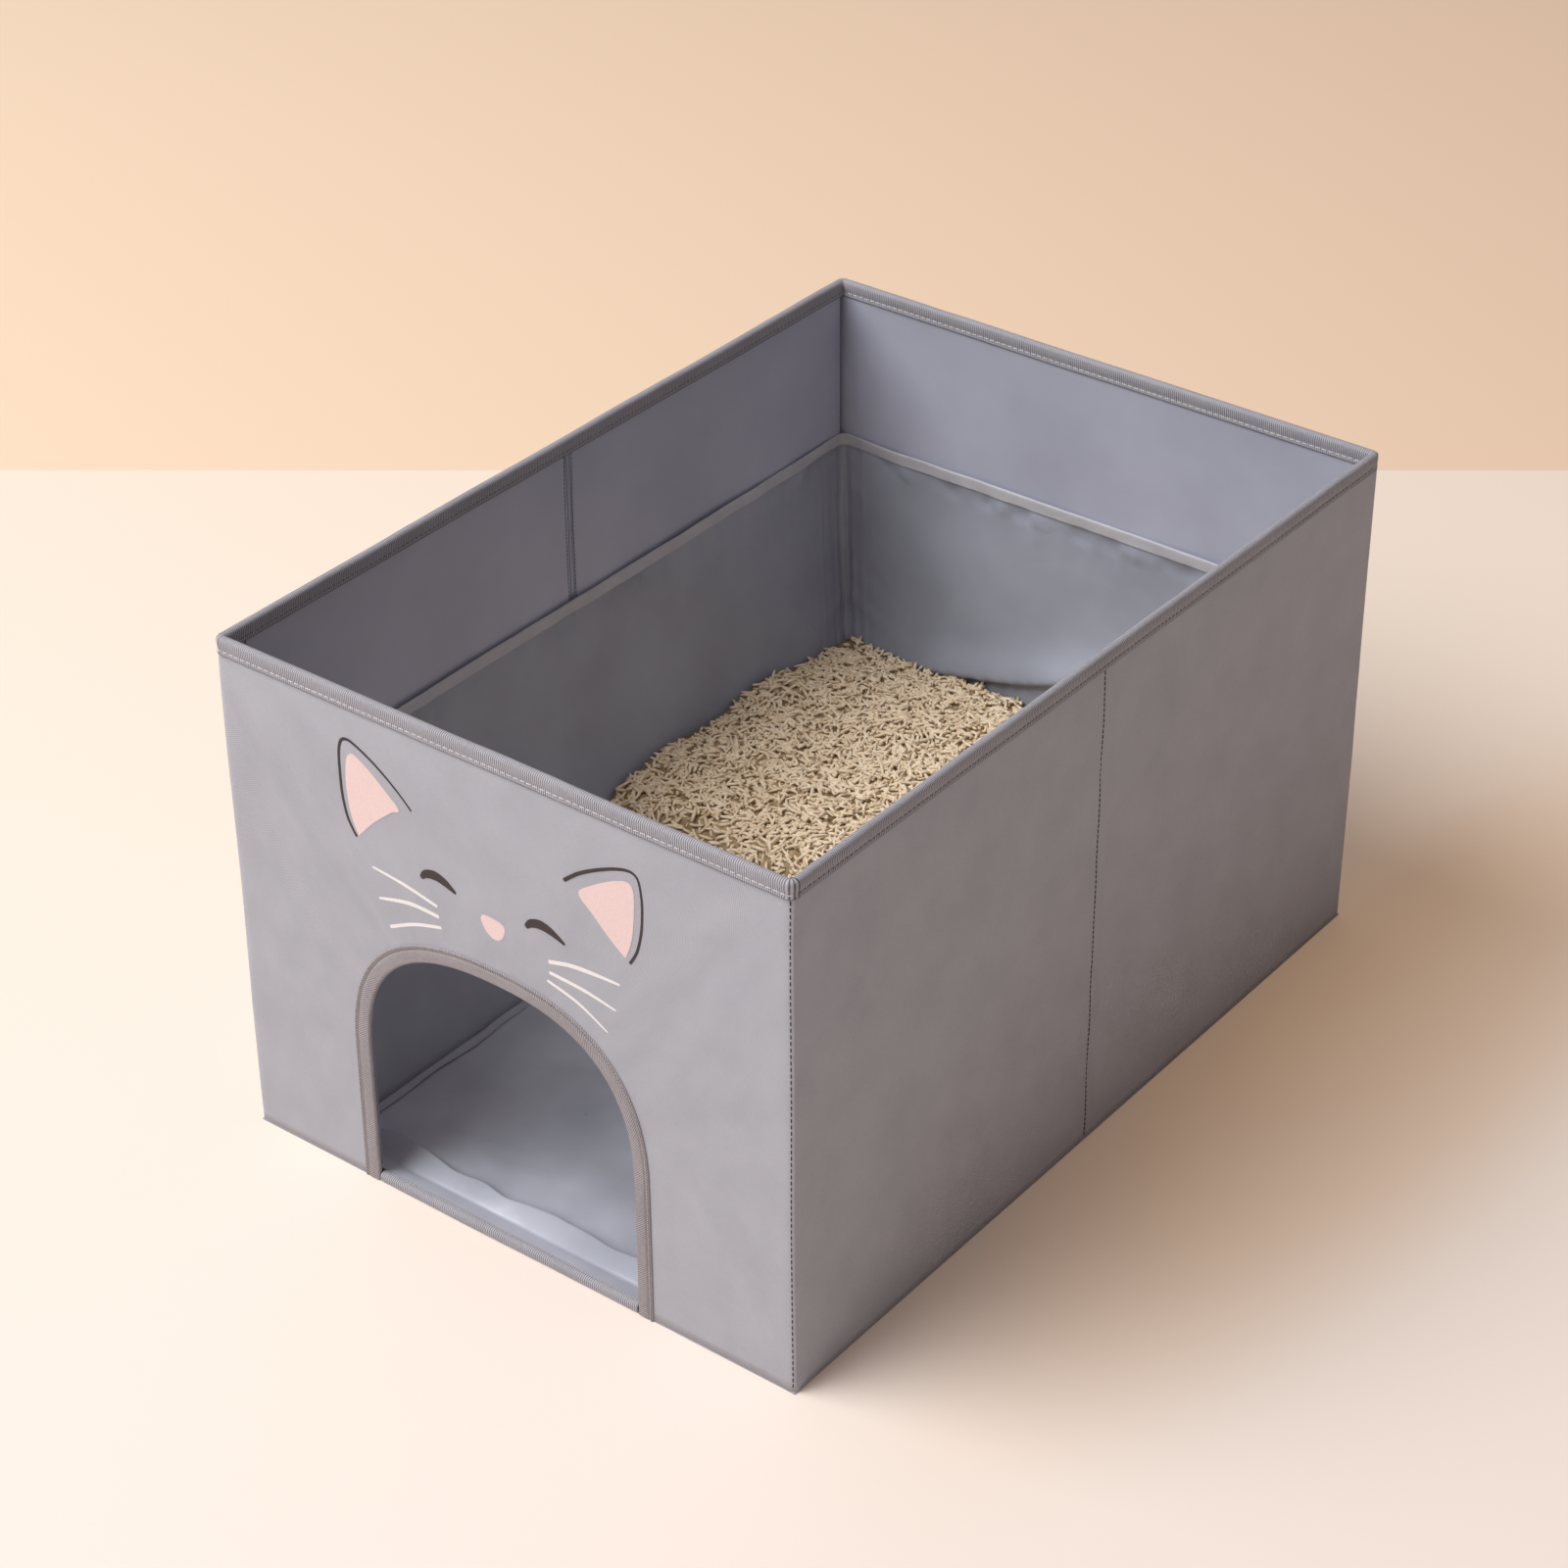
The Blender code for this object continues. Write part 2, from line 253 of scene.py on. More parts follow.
stageLook = {
    "floor": tone(244, 233, 226),
    "floorFar": tone(248, 233, 217),
    # painted falloff: the backdrop is darker towards the right, where less light reaches it
    "backdropLeft": tone(249, 225, 198),
    "backdropRight": tone(240, 212, 185),
    "edgeNormal": (-0.60299, 0.79775, 0.0),      # the backdrop starts past this line
    "edgeOffset": 0.7421,
    "along": (0.79775, 0.60299, 0.0),
    "reach": 9.0,
    "paintedShadeTint": (0.97, 0.86, 0.74, 1.0),             # painted warm shade: the floor is tinted warmer in the box's shadow beside the right wall
    "paintedShadeAt": (0.31, 0.17, 0.0),
    "paintedShadeSpread": (1 / 0.115, 1 / 0.40, 0.0),
    "paintedBounceGlow": (0.11, 0.066, 0.030, 1.0),         # painted glow: camera-only emission on the floor that stands in for peach light thrown back at the wall's foot
    "paintedGlowAt": (0.22, 0.27, 0.0),
    "paintedGlowSpread": (1 / 0.11, 1 / 0.38, 0.0),
    "lampAt": Vector((-2.03, -2.60, 4.40)),
    "lampSize": 4.5,
    "lampPower": 320.0,
    "skyStops": [                                # from the horizon to overhead
        (0.0, (0.03, 0.03, 0.03, 1.0)),
        (0.55, (0.215, 0.185, 0.175, 1.0)),
        (0.85, (0.43, 0.37, 0.35, 1.0)),
    ],
    "background": tone(252, 236, 220),
}


def makeFloor():
    look = stageLook
    constants = {"Roughness": 0.9, "Specular IOR Level": 0.2, "Emission Strength": 1.0}
    paint = Paint("studioFloor", constants)
    point = paint.place()

    def patch(centre, spread):
        # the squared distance from a centre, in units of the patch's spread
        offset = paint.vectors("SUBTRACT", point, centre).outputs[0]
        reach = paint.stretched(offset, spread)
        return paint.dot(reach, reach)

    side = paint.dot(point, look["along"])
    depth = paint.dot(point, look["edgeNormal"])
    # painted falloff: the backdrop runs darker from left to right
    backdrop = paint.ramp(
        (side + 1.3) / 2.6, [(0.0, look["backdropLeft"]), (1.0, look["backdropRight"])]
    )
    plain = paint.ramp((depth + 0.9) / 1.6, [(0.0, look["floor"]), (1.0, look["floorFar"])])
    # painted warm shade: a soft patch beside the right wall where the floor's colour turns warmer
    # in the box's shadow
    paintedShadeMask = patch(look["paintedShadeAt"], look["paintedShadeSpread"])
    paintedShadeMask = (paintedShadeMask * paintedShadeMask * -1).exponent()
    paintedShadeTint = paint.vectors("MULTIPLY", plain, look["paintedShadeTint"][:3]).outputs[0]
    # painted glow: emission seen only by the camera, lifting and warming the box's shadow near the
    # wall's foot
    seen = paint.node("ShaderNodeLightPath").outputs["Is Camera Ray"]
    paintedGlow = (patch(look["paintedGlowAt"], look["paintedGlowSpread"]) * -1).exponent() * seen
    paint.wear(
        Base_Color=paint.mixed(
            depth.above(look["edgeOffset"]), paint.mixed(paintedShadeMask, plain, paintedShadeTint), backdrop
        ),
        Roughness=0.86 + 0.08 * paint.noise(point, 900, 2.0),
        Emission_Color=paint.mixed(paintedGlow, (0, 0, 0, 1), look["paintedBounceGlow"]),
    )
    mesh = bmesh.new()
    bmesh.ops.create_grid(mesh, x_segments=2, y_segments=2, size=look["reach"])
    finishPiece("studioFloor", mesh, paint.material)


def makeLamp():
    look = stageLook
    data = bpy.data.lights.new("softbox", "AREA")
    data.shape = "DISK"
    data.size, data.energy = look["lampSize"], look["lampPower"]
    lamp = addObject("softbox", data)
    lamp.rotation_mode = "QUATERNION"
    lamp.rotation_quaternion = look["lampAt"].to_track_quat("Z", "Y")
    lamp.location = look["lampAt"]
    lamp.visible_camera = False


def makeSky():
    look = stageLook
    world = bpy.data.worlds.new("studio")
    bpy.context.scene.world = world
    world.use_nodes = True
    nodes = Nodes(world.node_tree)
    own = world.node_tree.nodes
    direction = nodes.node("ShaderNodeTexCoord").outputs["Generated"]
    height = nodes.split(direction)[2]
    lit = own["Background"]
    nodes.feed(lit.inputs["Color"], nodes.ramp(height, look["skyStops"]))
    seen = nodes.node("ShaderNodeBackground", None, {"Color": look["background"]})
    rays = nodes.node("ShaderNodeLightPath").outputs
    direct = Wire(nodes, rays["Is Camera Ray"]).atLeast(rays["Is Transmission Ray"])
    choice = nodes.node(
        "ShaderNodeMixShader", None, {0: direct, 1: lit.outputs[0], 2: seen.outputs[0]}
    )
    nodes.feed(own["World Output"].inputs["Surface"], choice.outputs[0])


def makeStage():
    makeFloor()
    makeLamp()
    makeSky()
    bpy.context.scene.view_settings.view_transform = "Standard"
    print("stage and light made")


# Making pieces

def finishPiece(name, mesh, material, thick=0.0):
    for edge in mesh.edges:
        edge.smooth = not edge.is_boundary       # keeps the shading even up to a cut edge
    data = bpy.data.meshes.new(name)
    mesh.to_mesh(data)
    mesh.free()
    data.materials.append(material)
    data.polygons.foreach_set("use_smooth", [True] * len(data.polygons))
    piece = addObject(name, data)
    if thick:
        cloth = piece.modifiers.new("clothThickness", "SOLIDIFY")
        cloth.thickness = thick
        cloth.offset = -1
    return piece


# Sets a piece on its body, in place of the solids it stands for
def dress(piece, body, slot, *nodes):
    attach(piece, body)
    if nodes:
        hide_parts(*nodes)


def foldFlat(piece):
    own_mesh(piece)


# A grid that is laid by a function of its column and row, with its UV map in metres
def wovenGrid(columns, rows, lay, uvStart=0.0, flip=False):
    mesh = bmesh.new()
    across, upward = len(columns) - 1, len(rows) - 1
    bmesh.ops.create_grid(mesh, x_segments=across, y_segments=upward, size=0.5)
    cells = {}
    grid = {}
    for vertex in mesh.verts:
        i = round((vertex.co.x + 0.5) * across)
        j = round((vertex.co.y + 0.5) * upward)
        vertex.co = lay(columns[i], rows[j])
        cells[vertex] = (i, j)
        grid[i, j] = vertex.co.copy()
    middleRow, middleColumn = upward // 2, across // 2
    along, up = [uvStart], [0.0]
    for i in range(across):
        along.append(along[-1] + (grid[i + 1, middleRow] - grid[i, middleRow]).length)
    for j in range(upward):
        up.append(up[-1] + (grid[middleColumn, j + 1] - grid[middleColumn, j]).length)
    uvLayer = mesh.loops.layers.uv.new("UVMap")
    for face in mesh.faces:
        for loop in face.loops:
            i, j = cells[loop.vert]
            loop[uvLayer].uv = (along[i], up[j])
    if flip:
        bmesh.ops.reverse_faces(mesh, faces=mesh.faces)
    return mesh


def steps(first, last, count):
    return [first + (last - first) * k / count for k in range(count + 1)]


def smooth(share):
    share = min(1.0, max(0.0, share))
    return share * share * (3 - 2 * share)


# Cloth over a board is never dead flat: the same slow waves move everything on a wall
waves = {"slow": 7.0, "slowDepth": 0.75 * mm, "quick": 24.0, "quickDepth": 0.16 * mm}


def rough(x, y, z):
    return noise.noise(Vector((x, y, z)))


def noiseVector(point):
    # the same in every run, which noise.noise_vector isn't
    shifts = Vector((9.3, -1.5, -7.9)), Vector((0, 0, 0)), Vector((6.3, 11.1, -3.8))
    return Vector([noise.noise(point + shift) for shift in shifts])


def drift(point):
    slow = noiseVector(point * waves["slow"] + Vector((1.1, 8.3, 6.6)))
    quick = noiseVector(point * waves["quick"] + Vector((7.7, 4.4, 2.3)))
    return point + slow * waves["slowDepth"] + quick * waves["quickDepth"]


# A stop on the plan of the walls: a corner with its turn, or a place along one wall
def corner(side, end, turn):
    return ("corner", side, end, turn)


def onSide(side, y):
    return ("side", side, y)


def onEnd(end, x):
    return ("end", end, x)


def wallPoint(stop, offset, bend):
    radius = max(bend + offset, 0.3 * mm)
    if stop[0] == "corner":
        _, side, end, turn = stop
        x = midWidth + offset - radius + radius * math.cos(turn * pi / 2)
        y = midLength + offset - radius + radius * math.sin(turn * pi / 2)
        return side * x, end * y
    if stop[0] == "side":
        return stop[1] * (midWidth + offset), stop[2]
    return stop[2], stop[1] * (midLength + offset)


def cornerStops(side, end, count):
    # anticlockwise seen from above, as all the wall paths run
    turns = steps(0.0, 1.0, count)
    if side * end < 0:
        turns.reverse()
    return [corner(side, end, turn) for turn in turns]


def evenly(points, pitch, start=0.5):
    # places at an even pitch along a line of (point, outward) pairs
    found = []
    travelled, wanted = 0.0, pitch * start
    for (here, outward), (there, _) in zip(points, points[1:]):
        length = (there - here).length
        while length > 1e-9 and wanted <= travelled + length:
            share = (wanted - travelled) / length
            found.append((here.lerp(there, share), (there - here).normalized(), outward))
            wanted += pitch
        travelled += length
    return found


# Copies of small shapes in one mesh, each at its own matrix
def copyOnto(name, shapes, matrices, picks, material):
    vertices, loops, sizes, starts = [], [], [], 0
    for index, shape in enumerate(shapes):
        chosen = matrices[picks == index]
        if not len(chosen):
            continue
        base = np.array([vertex.co for vertex in shape.verts])
        shape.verts.index_update()
        faces = [[vertex.index for vertex in face.verts] for face in shape.faces]
        flat = np.concatenate(faces)
        count = np.array([len(face) for face in faces])
        turned = np.einsum("nij,kj->nki", chosen[:, :3, :3], base) + chosen[:, None, :3, 3]
        vertices.append(turned.reshape(-1, 3))
        shift = starts + len(base) * np.arange(len(chosen))
        loops.append((flat[None, :] + shift[:, None]).ravel())
        sizes.append(np.tile(count, len(chosen)))
        starts += len(base) * len(chosen)
    vertices, loops, sizes = map(np.concatenate, (vertices, loops, sizes))
    data = bpy.data.meshes.new(name)
    data.vertices.add(len(vertices))
    data.vertices.foreach_set("co", vertices.astype(np.float32).ravel())
    data.loops.add(len(loops))
    data.loops.foreach_set("vertex_index", loops.astype(np.int32))
    data.polygons.add(len(sizes))
    first = np.concatenate(([0], np.cumsum(sizes)[:-1]))
    data.polygons.foreach_set("loop_start", first.astype(np.int32))
    data.polygons.foreach_set("use_smooth", np.ones(len(sizes), bool))
    data.update(calc_edges=True)
    data.validate()
    data.materials.append(material)
    return addObject(name, data)


def threadShape(length, width, height):
    mesh = bmesh.new()
    bmesh.ops.create_cube(mesh, size=1)
    bmesh.ops.scale(mesh, vec=(length, width, height), verts=mesh.verts)
    bmesh.ops.bevel(
        mesh,
        geom=mesh.edges[:],
        offset=min(width, height) * 0.42,
        affect="EDGES",
        segments=1,
        profile=0.5,
        material=-1,
    )
    return mesh


def stitchRow(name, line, look, material, drifts=True):
    # line is a list of (point, outward) pairs that the thread follows
    shape = threadShape(look["length"], look["width"], look["width"])
    rows = []
    for point, direction, outward in evenly(line, look["pitch"]):
        sideways = outward.cross(direction).normalized()
        normal = direction.cross(sideways)
        matrix = np.eye(4)
        matrix[:3, 0], matrix[:3, 1], matrix[:3, 2] = direction, sideways, normal
        matrix[:3, 3] = drift(point) if drifts else point
        rows.append(matrix)
    picks = np.zeros(len(rows), int)
    return copyOnto(name, [shape], np.array(rows), picks, material)


# Finishes

clothLook = {
    "light": tone(198, 200, 209),
    "dark": tone(145, 146, 156),
    "pitch": 1.3 * mm,
    "roughness": 0.66,
}


def outerClothPaint():
    look = clothLook
    paint = Paint("greyTwill", {"Roughness": look["roughness"], "Specular IOR Level": 0.3})
    point, u, v = paint.surface()
    diagonal = (((u + v) / look["pitch"]).fraction() - 0.5).absolute() * 2
    crossing = ((u - v) * (2 * pi / (0.47 * look["pitch"]))).sine() * 0.5 + 0.5
    slub = paint.noise(paint.stretched(point, (260, 2600, 1)), 1.0, 2.0)
    cloud = paint.noise(point, 26, 4.0)
    rib = diagonal * 0.7 + crossing * 0.3
    shade = rib * 0.55 + slub * 0.25 + cloud * 0.3
    colour = paint.ramp(shade, [(0.15, look["dark"]), (0.85, look["light"])])
    ripple = paint.bump(paint.noise(point, 9.0, 3.0), 1.3 * mm, 0.55)
    weave = paint.bump(rib, 0.14 * mm, 0.65, ripple)
    return paint.wear(Base_Color=colour, Roughness=0.62 + 0.12 * cloud, Normal=weave)


liningLook = {"light": tone(184, 187, 203), "dark": tone(168, 171, 187)}


def liningPaint():
    # the smooth coated face that the walls turn inwards
    look = liningLook
    paint = Paint("greyLining", {"Specular IOR Level": 0.45})
    point, u, v = paint.surface()
    threads = ((u * 9000).sine() + (v * 9000).sine()) * 0.25 + 0.5
    cloud = paint.noise(point, 14, 3.0)
    colour = paint.ramp(cloud, [(0.25, look["dark"]), (0.8, look["light"])])
    ripple = paint.bump(paint.noise(point, 7.0, 3.0), 2.2 * mm, 0.6)
    return paint.wear(
        Base_Color=colour,
        Roughness=0.40 + 0.10 * cloud,
        Normal=paint.bump(threads, 0.03 * mm, 0.35, ripple),
    )


ribLook = {
    "ridge": tone(184, 183, 191),
    "groove": tone(52, 50, 56),
    # painted shade: the dark line along both long edges of the tape
    "edge": tone(56, 52, 58),
    "pitch": 1.45 * mm,
}


def tapeLength(section):
    return sum(math.dist(here, there) for here, there in zip(section, section[1:]))


def ribbedTapePaint():
    look = ribLook
    paint = Paint("ribbedTape", {"Specular IOR Level": 0.3})
    point, u, v = paint.surface()
    rib = (u * (pi / look["pitch"])).sine().absolute()
    thread = ((v * (pi / (0.55 * mm))).sine()).absolute()
    uneven = paint.noise(point, 420, 2.0)
    slow = paint.noise(point, 30, 3.0)
    shade = rib * 0.66 + thread * 0.10 + uneven * 0.2 + slow * 0.18
    ribbed = paint.ramp(shade, [(0.22, look["groove"]), (0.85, look["ridge"])])
    length = tapeLength(rimSection())
    # painted shade line along both long edges of the tape, where it stands off the cloth
    paintedEdgeShade = (v / rim["paintedEdgeShade"]).most(1.0) * ((length - v) / rim["paintedEdgeShade"]).most(1.0)
    colour = paint.mixed(paintedEdgeShade.socket, look["edge"], ribbed)
    height = rib * 0.75 + thread * 0.15 + uneven * 0.15
    return paint.wear(
        Base_Color=colour,
        Roughness=0.66 + 0.12 * slow,
        Normal=paint.bump(height, 0.20 * mm, 0.8),
    )


bindingLook = {
    "ridge": tone(190, 184, 188),
    "groove": tone(70, 66, 68),
    "pitch": 1.6 * mm,
}


def bindingPaint():
    # herringbone tape round the door
    look = bindingLook
    paint = Paint("bindingTape", {"Specular IOR Level": 0.3})
    point, u, v = paint.surface()
    slant = (((u + v * 0.9) / look["pitch"]).fraction() - 0.5).absolute() * 2
    fine = ((u - v * 0.9) * (2 * pi / (0.6 * mm))).sine() * 0.5 + 0.5
    uneven = paint.noise(point, 380, 2.0)
    slow = paint.noise(point, 30, 3.0)
    shade = slant * 0.6 + fine * 0.14 + uneven * 0.2 + slow * 0.2
    colour = paint.ramp(shade, [(0.15, look["groove"]), (0.85, look["ridge"])])
    return paint.wear(
        Base_Color=colour,
        Roughness=0.68 + 0.1 * slow,
        Normal=paint.bump(slant * 0.7 + fine * 0.2, 0.18 * mm, 0.8),
    )


filmLook = {"light": tone(164, 170, 184), "dark": tone(144, 148, 161)}
floorLook = {"light": tone(190, 194, 206), "dark": tone(160, 164, 176)}


def filmPaint(name, look, roughness, creases):
    paint = Paint(name, {"Specular IOR Level": 0.5})
    point = paint.place()
    cloud = paint.noise(point, 12, 3.0)
    colour = paint.ramp(cloud, [(0.3, look["dark"]), (0.75, look["light"])])
    wrinkle = paint.bump(paint.noise(point, 16, 4.0, 0.55), creases, 0.8)
    fold = (paint.noise(paint.stretched(point, (1.0, 0.8, 1.3)), 19, 2.5) - 0.5).absolute()
    crumple = (fold * 7).most(1.0)                # sharp lines where the film has been folded
    lines = paint.bump(crumple, creases * 0.16, 0.6, wrinkle)
    grain = paint.bump(paint.noise(point, 900, 2.0), 0.02 * mm, 0.3, lines)
    return paint.wear(
        Base_Color=colour, Roughness=roughness + 0.12 * cloud, Normal=grain
    )


satinLook = {"light": tone(196, 196, 202), "dark": tone(170, 170, 177)}


def satinTapePaint():
    look = satinLook
    paint = Paint("satinTape", {"Specular IOR Level": 0.4})
    point, u, v = paint.surface()
    weave = (((u + v) / (0.9 * mm)).fraction() - 0.5).absolute() * 2
    slow = paint.noise(point, 45, 3.0)
    colour = paint.ramp(weave * 0.35 + slow * 0.6, [(0.2, look["dark"]), (0.8, look["light"])])
    return paint.wear(
        Base_Color=colour,
        Roughness=0.5 + 0.1 * slow,
        Normal=paint.bump(weave, 0.05 * mm, 0.6),
    )


def inkPaint(name, colour, shadow):
    # printing ink that has sunk into the weave
    paint = Paint(name, {"Specular IOR Level": 0.35})
    point = paint.place()
    x, _, z = paint.split(point)
    weave = (((x + z) / clothLook["pitch"]).fraction() - 0.5).absolute() * 2
    fleck = paint.noise(point, 700, 2.0)
    inked = paint.ramp(weave * 0.4 + fleck * 0.6, [(0.1, shadow), (0.6, colour)])
    return paint.wear(
        Base_Color=inked,
        Roughness=0.5 + 0.15 * fleck,
        Normal=paint.bump(weave, 0.05 * mm, 0.5),
    )


def threadPaint(name, light, dark):
    paint = Paint(name, {"Specular IOR Level": 0.35})
    point = paint.place()
    twist = paint.noise(point, 1800, 2.0)
    colour = paint.ramp(twist, [(0.3, dark), (0.7, light)])
    return paint.wear(
        Base_Color=colour, Roughness=0.6 + 0.2 * twist, Normal=paint.bump(twist, 0.08 * mm, 0.6)
    )


pelletLook = {
    "pale": tone(250, 236, 211),
    "middle": tone(239, 220, 190),
    "deep": tone(216, 192, 157),
}


# painted shade: the bed under the pellets is darker than they are, standing in for the shade in the
# gaps between them
shadedBedLook = {"pale": tone(190, 168, 132), "middle": tone(160, 138, 104), "deep": tone(126, 106, 78)}


def pelletPaint(name, look):
    paint = Paint(name, {"Specular IOR Level": 0.2})
    point = paint.place()
    each = paint.noise(point, 190, 1.0)
    grain = paint.noise(point, 1500, 3.0)
    patches = paint.noise(point, 22, 2.0)
    shade = each * 0.6 + grain * 0.2 + patches * 0.2
    colour = paint.ramp(
        shade, [(0.30, look["deep"]), (0.48, look["middle"]), (0.68, look["pale"])]
    )
    return paint.wear(
        Base_Color=colour, Roughness=0.82 + 0.12 * grain, Normal=paint.bump(grain, 0.12 * mm, 0.7)
    )


def boardPaint():
    paint = Paint("pressedBoard", {"Specular IOR Level": 0.25})
    point = paint.place()
    fibres = paint.noise(paint.stretched(point, (120, 120, 900)), 1.0, 4.0)
    colour = paint.ramp(fibres, [(0.3, tone(176, 160, 132)), (0.7, tone(205, 190, 162))])
    return paint.wear(
        Base_Color=colour, Roughness=0.8 + 0.1 * fibres, Normal=paint.bump(fibres, 0.1 * mm, 0.4)
    )


def makePaints():
    made = {
        "cloth": outerClothPaint(),
        "lining": liningPaint(),
        "rib": ribbedTapePaint(),
        "binding": bindingPaint(),
        "film": filmPaint("linerFilm", filmLook, 0.42, 1.6 * mm),
        "gloss": filmPaint("floorFilm", floorLook, 0.24, 1.8 * mm),
        "satin": satinTapePaint(),
        "pink": inkPaint("pinkInk", tone(240, 216, 213), tone(224, 196, 193)),
        "darkInk": inkPaint("darkInk", tone(66, 58, 58), tone(44, 38, 40)),
        "whiteInk": inkPaint("whiteInk", tone(246, 242, 242), tone(228, 224, 226)),
        "paleThread": threadPaint("paleThread", tone(226, 224, 227), tone(186, 184, 190)),
        "greyThread": threadPaint("greyThread", tone(128, 122, 124), tone(84, 80, 84)),
        "darkThread": threadPaint("darkThread", tone(74, 64, 66), tone(44, 38, 42)),
        "pellets": pelletPaint("pressedPellets", pelletLook),
        "shadedBedPellets": pelletPaint("shadedPellets", shadedBedLook),
        "board": boardPaint(),
    }
    print("finishes mixed")
    return made


# The cat door's outline, grown outwards by a margin: legs, then an arch

door = {
    "middle": -7.1 * mm,
    "halfWidth": 101.7 * mm,
    "top": 192.3 * mm,
    "shoulder": 98.0 * mm,
    "squareness": 2.42,
    "legStops": 14,
    "archStops": 72,
}


def archPoint(stop, grow):
    # a stop is a height on a leg, as (side, z), or a turn in half circles from the left
    half = door["halfWidth"] + grow
    if stop[0] != "arch":
        return door["middle"] + stop[1] * half, stop[2]
    rise = door["top"] - door["shoulder"] + grow
    turn = pi * (1 - stop[1])
    power = 2 / door["squareness"]
    c, s = math.cos(turn), abs(math.sin(turn))
    x = door["middle"] + math.copysign(half * abs(c) ** power, c)
    return x, door["shoulder"] + rise * s ** power


def archStops(bottom, extra=()):
    heights = steps(bottom, door["shoulder"], door["legStops"])
    turns = steps(0.0, 1.0, door["archStops"])[1:-1]
    turns = sorted(turns + list(extra))
    left = [("leg", leftSide, z) for z in heights]
    right = [("leg", rightSide, z) for z in reversed(heights)]
    return left + [("arch", turn) for turn in turns] + right


def cornerTurn(side, x, z, grow):
    # the turn at which a ray from the arch's centre meets the point (x, z)
    half = door["halfWidth"] + grow
    rise = door["top"] - door["shoulder"] + grow
    slope = (z - door["shoulder"]) / abs(x - door["middle"])
    angle = math.atan((slope * half / rise) ** (door["squareness"] / 2))
    share = angle / pi
    return share if side < 0 else 1 - share


def rayToEdge(stop, grow, reach, top):
    # where the ray through an arch point leaves a rectangle, and on which edge
    x, z = archPoint(stop, grow)
    if stop[0] != "arch":
        return stop[1] * reach, z, "side"
    dx, dz = x - door["middle"], z - door["shoulder"]
    toTop = (top - door["shoulder"]) / dz if dz > 1e-9 else 1e9
    toSide = (math.copysign(reach, dx) - door["middle"]) / dx if abs(dx) > 1e-9 else 1e9
    if toTop < toSide * 0.99999:
        return door["middle"] + dx * toTop, top, "top"
    return door["middle"] + dx * toSide, door["shoulder"] + dz * toSide, "side"


# Outer cloth of the front wall, with its turned corners

covers = {
    "clothThick": 0.6 * mm,
    "roundAcross": 6.0 * mm,         # the cloth turns a corner on a flat curve
    "roundAlong": 2.2 * mm,
    "tuck": 0.45 * mm,               # how far the sewn tape nips it in
    "doorMargin": 0.9 * mm,
    "doorBackMargin": 8.5 * mm,
    "rings": 26,
    "rows": 62,
    "underFold": 3.4 * mm,
    "seamDip": 0.4 * mm,
    "seamDipWidth": 1.3 * mm,
}
stripEnd = {
    # how far the end walls' cloth runs round onto the sides
    (leftSide, frontEnd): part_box("front_left_corner_strip")[1].y,
    (rightSide, frontEnd): -(halfLength - covers["roundAlong"]),
    (leftSide, rearEnd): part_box("rear_left_corner_strip")[0].y,
    (rightSide, rearEnd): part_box("rear_right_corner_strip")[0].y,
}


def clothTuck(z):
    return covers["tuck"] * smooth((z - (rimTop - rimDrop - 1.0 * mm)) / (2.5 * mm))


def clothPoint(stop, offset):
    if stop[0] != "corner":
        return wallPoint(stop, offset, 0.0)
    _, side, end, turn = stop
    cut = halfWall - offset
    across = max(covers["roundAcross"] - cut, 0.3 * mm)
    along = max(covers["roundAlong"] - cut, 0.3 * mm)
    x = halfWidth - cut - across + across * math.cos(turn * pi / 2)
    y = halfLength - cut - along + along * math.sin(turn * pi / 2)
    return side * x, end * y


def frontOuterCloth():
    grow = covers["doorMargin"]
    reach = halfWidth - covers["roundAcross"]
    top = rimTop - rimDrop + 1.5 * mm
    extra = [cornerTurn(side, side * reach, top, grow) for side in (leftSide, rightSide)]
    stops = archStops(wallBottom, extra)
    stops = [("fold", leftSide, wallBottom)] + stops + [("fold", rightSide, wallBottom)]
    rings = [("flat", share) for share in steps(0.0, 1.0, covers["rings"])]
    wraps = [("wrap", share) for share in steps(0.0, 1.0, 20)[1:]]

    def lay(stop, ring):
        folded = stop[0] == "fold"
        edge = ("leg", stop[1], stop[2]) if folded else stop
        x0, z0 = archPoint(edge, grow)
        x1, z1, side = rayToEdge(edge, grow, reach, top)
        cut = covers["underFold"] if folded else 0.0
        if ring[0] == "flat":
            x, z = x0 + (x1 - x0) * ring[1], z0 + (z1 - z0) * ring[1]
            return drift(Vector((x, -halfLength + cut + clothTuck(z), z)))
        if side == "top":
            z = z1 + (wallTop - top) * ring[1]
            return drift(Vector((x1, -halfLength + clothTuck(z), z)))
        which = rightSide if x1 > 0 else leftSide
        turn, gone = ring[1], 0.0
        if which == leftSide:
            turn, gone = min(1.0, ring[1] * 2), max(0.0, ring[1] * 2 - 1)
        x, y = clothPoint(corner(which, frontEnd, 1 - turn), halfWall - cut - clothTuck(z1))
        return drift(Vector((x, y + (stripEnd[which, frontEnd] - y) * gone, z1)))

    mesh = wovenGrid(stops, rings + wraps, lay)
    piece = finishPiece("frontOuterCloth", mesh, paints["cloth"], covers["clothThick"])
    strips = ["front_left_corner_strip", "front_right_corner_strip"]
    dress(piece, "front", "grey_cloth", "front_cover", *strips)


